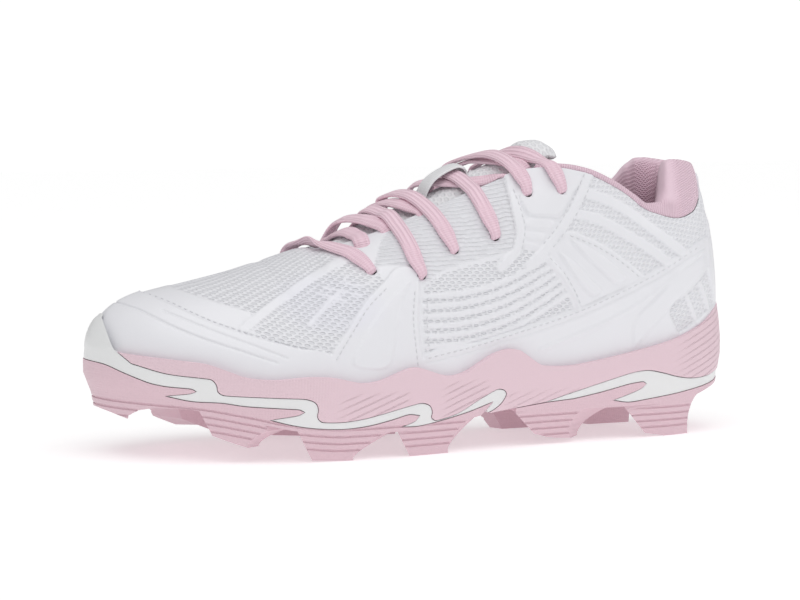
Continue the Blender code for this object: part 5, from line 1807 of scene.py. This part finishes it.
foam = {
    "dark": (0.75, 0.565, 0.625),
    "light": (0.81, 0.625, 0.685),
    # painted shade: the darker colour put in the slanted grooves
    "cut": (0.66, 0.46, 0.52),
    "slant": (0.36, 0.93),  # sine and cosine of the cut lines' slope
    "cutStep": 2.7,
    "diamond": 2.6,
}
tread = {"dark": (0.71, 0.51, 0.57), "light": (0.77, 0.57, 0.63), "hatch": 3.0}
band = {"dark": (0.78, 0.79, 0.79), "light": (0.83, 0.835, 0.84)}


def between(value, start, end):
    # 1 from one place to the next, with soft ends
    return value.ramp(*start) * (1.0 - value.ramp(*end))


def paintFoam():
    made = Finish("pinkFoam", foam["light"], 0.55)
    place, x, _, z = made.place()
    speckle = made.noise(place, 2.6, 3.0)
    fineX, fineZ = x * foam["diamond"], z * foam["diamond"]
    diamond = crossed(fineX + fineZ, fineX - fineZ)
    forefoot = x.ramp(48.0, 66.0)
    sloped = x * foam["slant"][0] + z * foam["slant"][1]
    slanting = (sloped * (fullTurn / foam["cutStep"])).sin().ramp(0.72, 0.98)
    heel = 1.0 - x.ramp(-118.0, -100.0)
    middle = between(x, (22.0, 26.0), (46.0, 58.0)) * (1.0 - z.ramp(25.0, 28.0))
    waist = between(x, (-16.0, -12.0), (2.0, 10.0)) * (1.0 - z.ramp(27.0, 31.0))
    arch = between(x, (-78.0, -60.0), (-26.0, -20.0)) * (1.0 - z.ramp(21.0, 25.0)) * 0.6
    cut = slanting * heel.most(middle).most(waist).most(arch)
    colour = made.mixColour(speckle, foam["dark"], foam["light"])
    # painted shade in the slanted grooves, which are also bumped
    made.feed("Base Color", made.mixColour(cut * 0.34, colour, foam["cut"]))
    made.feed("Roughness", 0.5 + speckle * 0.14)
    made.bump(diamond * forefoot * 0.35 + (1.0 - cut) * 0.8 + speckle * 0.05, 0.4)
    return made.material


def paintOutsole():
    made = Finish("pinkMoulded", tread["light"], 0.48)
    place, x, _, z = made.place()
    speckle = made.noise(place, 1.8, 3.0)
    fineX, fineZ = x * tread["hatch"], z * tread["hatch"]
    hatch = crossed(fineX + fineZ, fineX - fineZ)
    made.feed("Base Color", made.mixColour(speckle, tread["dark"], tread["light"]))
    made.feed("Roughness", 0.42 + speckle * 0.16)
    made.bump(hatch * 0.4 + speckle * 0.3, 0.16)
    return made.material


def paintBand():
    made = Finish("whiteBand", band["light"], 0.36, Coat_Weight=0.1, Coat_Roughness=0.25)
    place, *_ = made.place()
    cloud = made.noise(place, 0.06, 2.0)
    grain = made.noise(place, 4.0, 2.0)
    made.feed("Base Color", made.mixColour(cloud, band["dark"], band["light"]))
    made.feed("Roughness", 0.3 + cloud * 0.14)
    made.bump(grain, 0.04)
    return made.material


solePieces = buildSole()
soleFinishes = {
    "midsole": (paintFoam(), "midsole_foam"),
    "outsole_fore": (paintOutsole(), "outsole"),
    "band_fore": (paintBand(), "side_band"),
}
soleFinishes["outsole_heel"] = soleFinishes["outsole_fore"]
soleFinishes["band_heel"] = soleFinishes["band_fore"]
for node, piece in solePieces.items():
    finishPiece(piece, *soleFinishes[node], [node])
    print(piece.name, len(piece.data.polygons), "faces")

# Floor, light and background
studio = {"floor": 3.0, "white": 0.82, "glow": 0.36, "seen": 1.05, "ambient": 0.36, "rough": 0.65}
sunlight = {"from": (0.1, 0.3, 1.0), "strength": 1.5, "angle": 70.0}  # one wide soft light overhead


def buildStudio():
    bpy.ops.object.select_all(action="DESELECT")
    bpy.ops.mesh.primitive_plane_add(size=studio["floor"] * 2, location=(0, 0, 0))
    floor = bpy.context.object
    floor.name = "studioFloor"
    white = Finish("paleFloor", (studio["white"],) * 3, studio["rough"], Emission_Strength=studio["glow"])
    white.shader.inputs["Emission Color"].default_value = (1.0, 1.0, 1.0, 1.0)
    floor.data.materials.append(white.material)
    world = bpy.data.worlds.new("softWhite")
    world.use_nodes = True
    sky = world.node_tree.nodes["Background"]
    sky.inputs["Color"].default_value = (1.0, 1.0, 1.0, 1.0)
    straight = addNode(world.node_tree, "ShaderNodeLightPath")  # the backdrop is whiter than its light
    strength = straight * (studio["seen"] - studio["ambient"]) + studio["ambient"]
    world.node_tree.links.new(strength.socket, sky.inputs["Strength"])
    bpy.context.scene.world = world
    lights = (
        # name, place, aim, size, power
        ("fromHeel", (-1.2, 0.7, 0.75), (0, 0, 0.06), 0.7, 2.6),
        ("fromToe", (1.2, 0.9, 0.9), (0, 0, 0.06), 0.9, 1.0),
    )
    data = bpy.data.lights.new("overhead", "SUN")
    data.energy = sunlight["strength"]
    data.angle = math.radians(sunlight["angle"])
    lamp = bpy.data.objects.new("overhead", data)
    lamp.rotation_euler = (-Vector(sunlight["from"])).to_track_quat("-Z", "Y").to_euler()
    bpy.context.scene.collection.objects.link(lamp)
    for name, place, aim, size, power in lights:
        data = bpy.data.lights.new(name, "AREA")
        data.size = size
        data.energy = power
        lamp = bpy.data.objects.new(name, data)
        lamp.location = place
        lamp.rotation_euler = (Vector(aim) - Vector(place)).to_track_quat("-Z", "Y").to_euler()
        bpy.context.scene.collection.objects.link(lamp)
    bpy.context.scene.view_settings.view_transform = "Standard"


buildStudio()
print("studio lit")
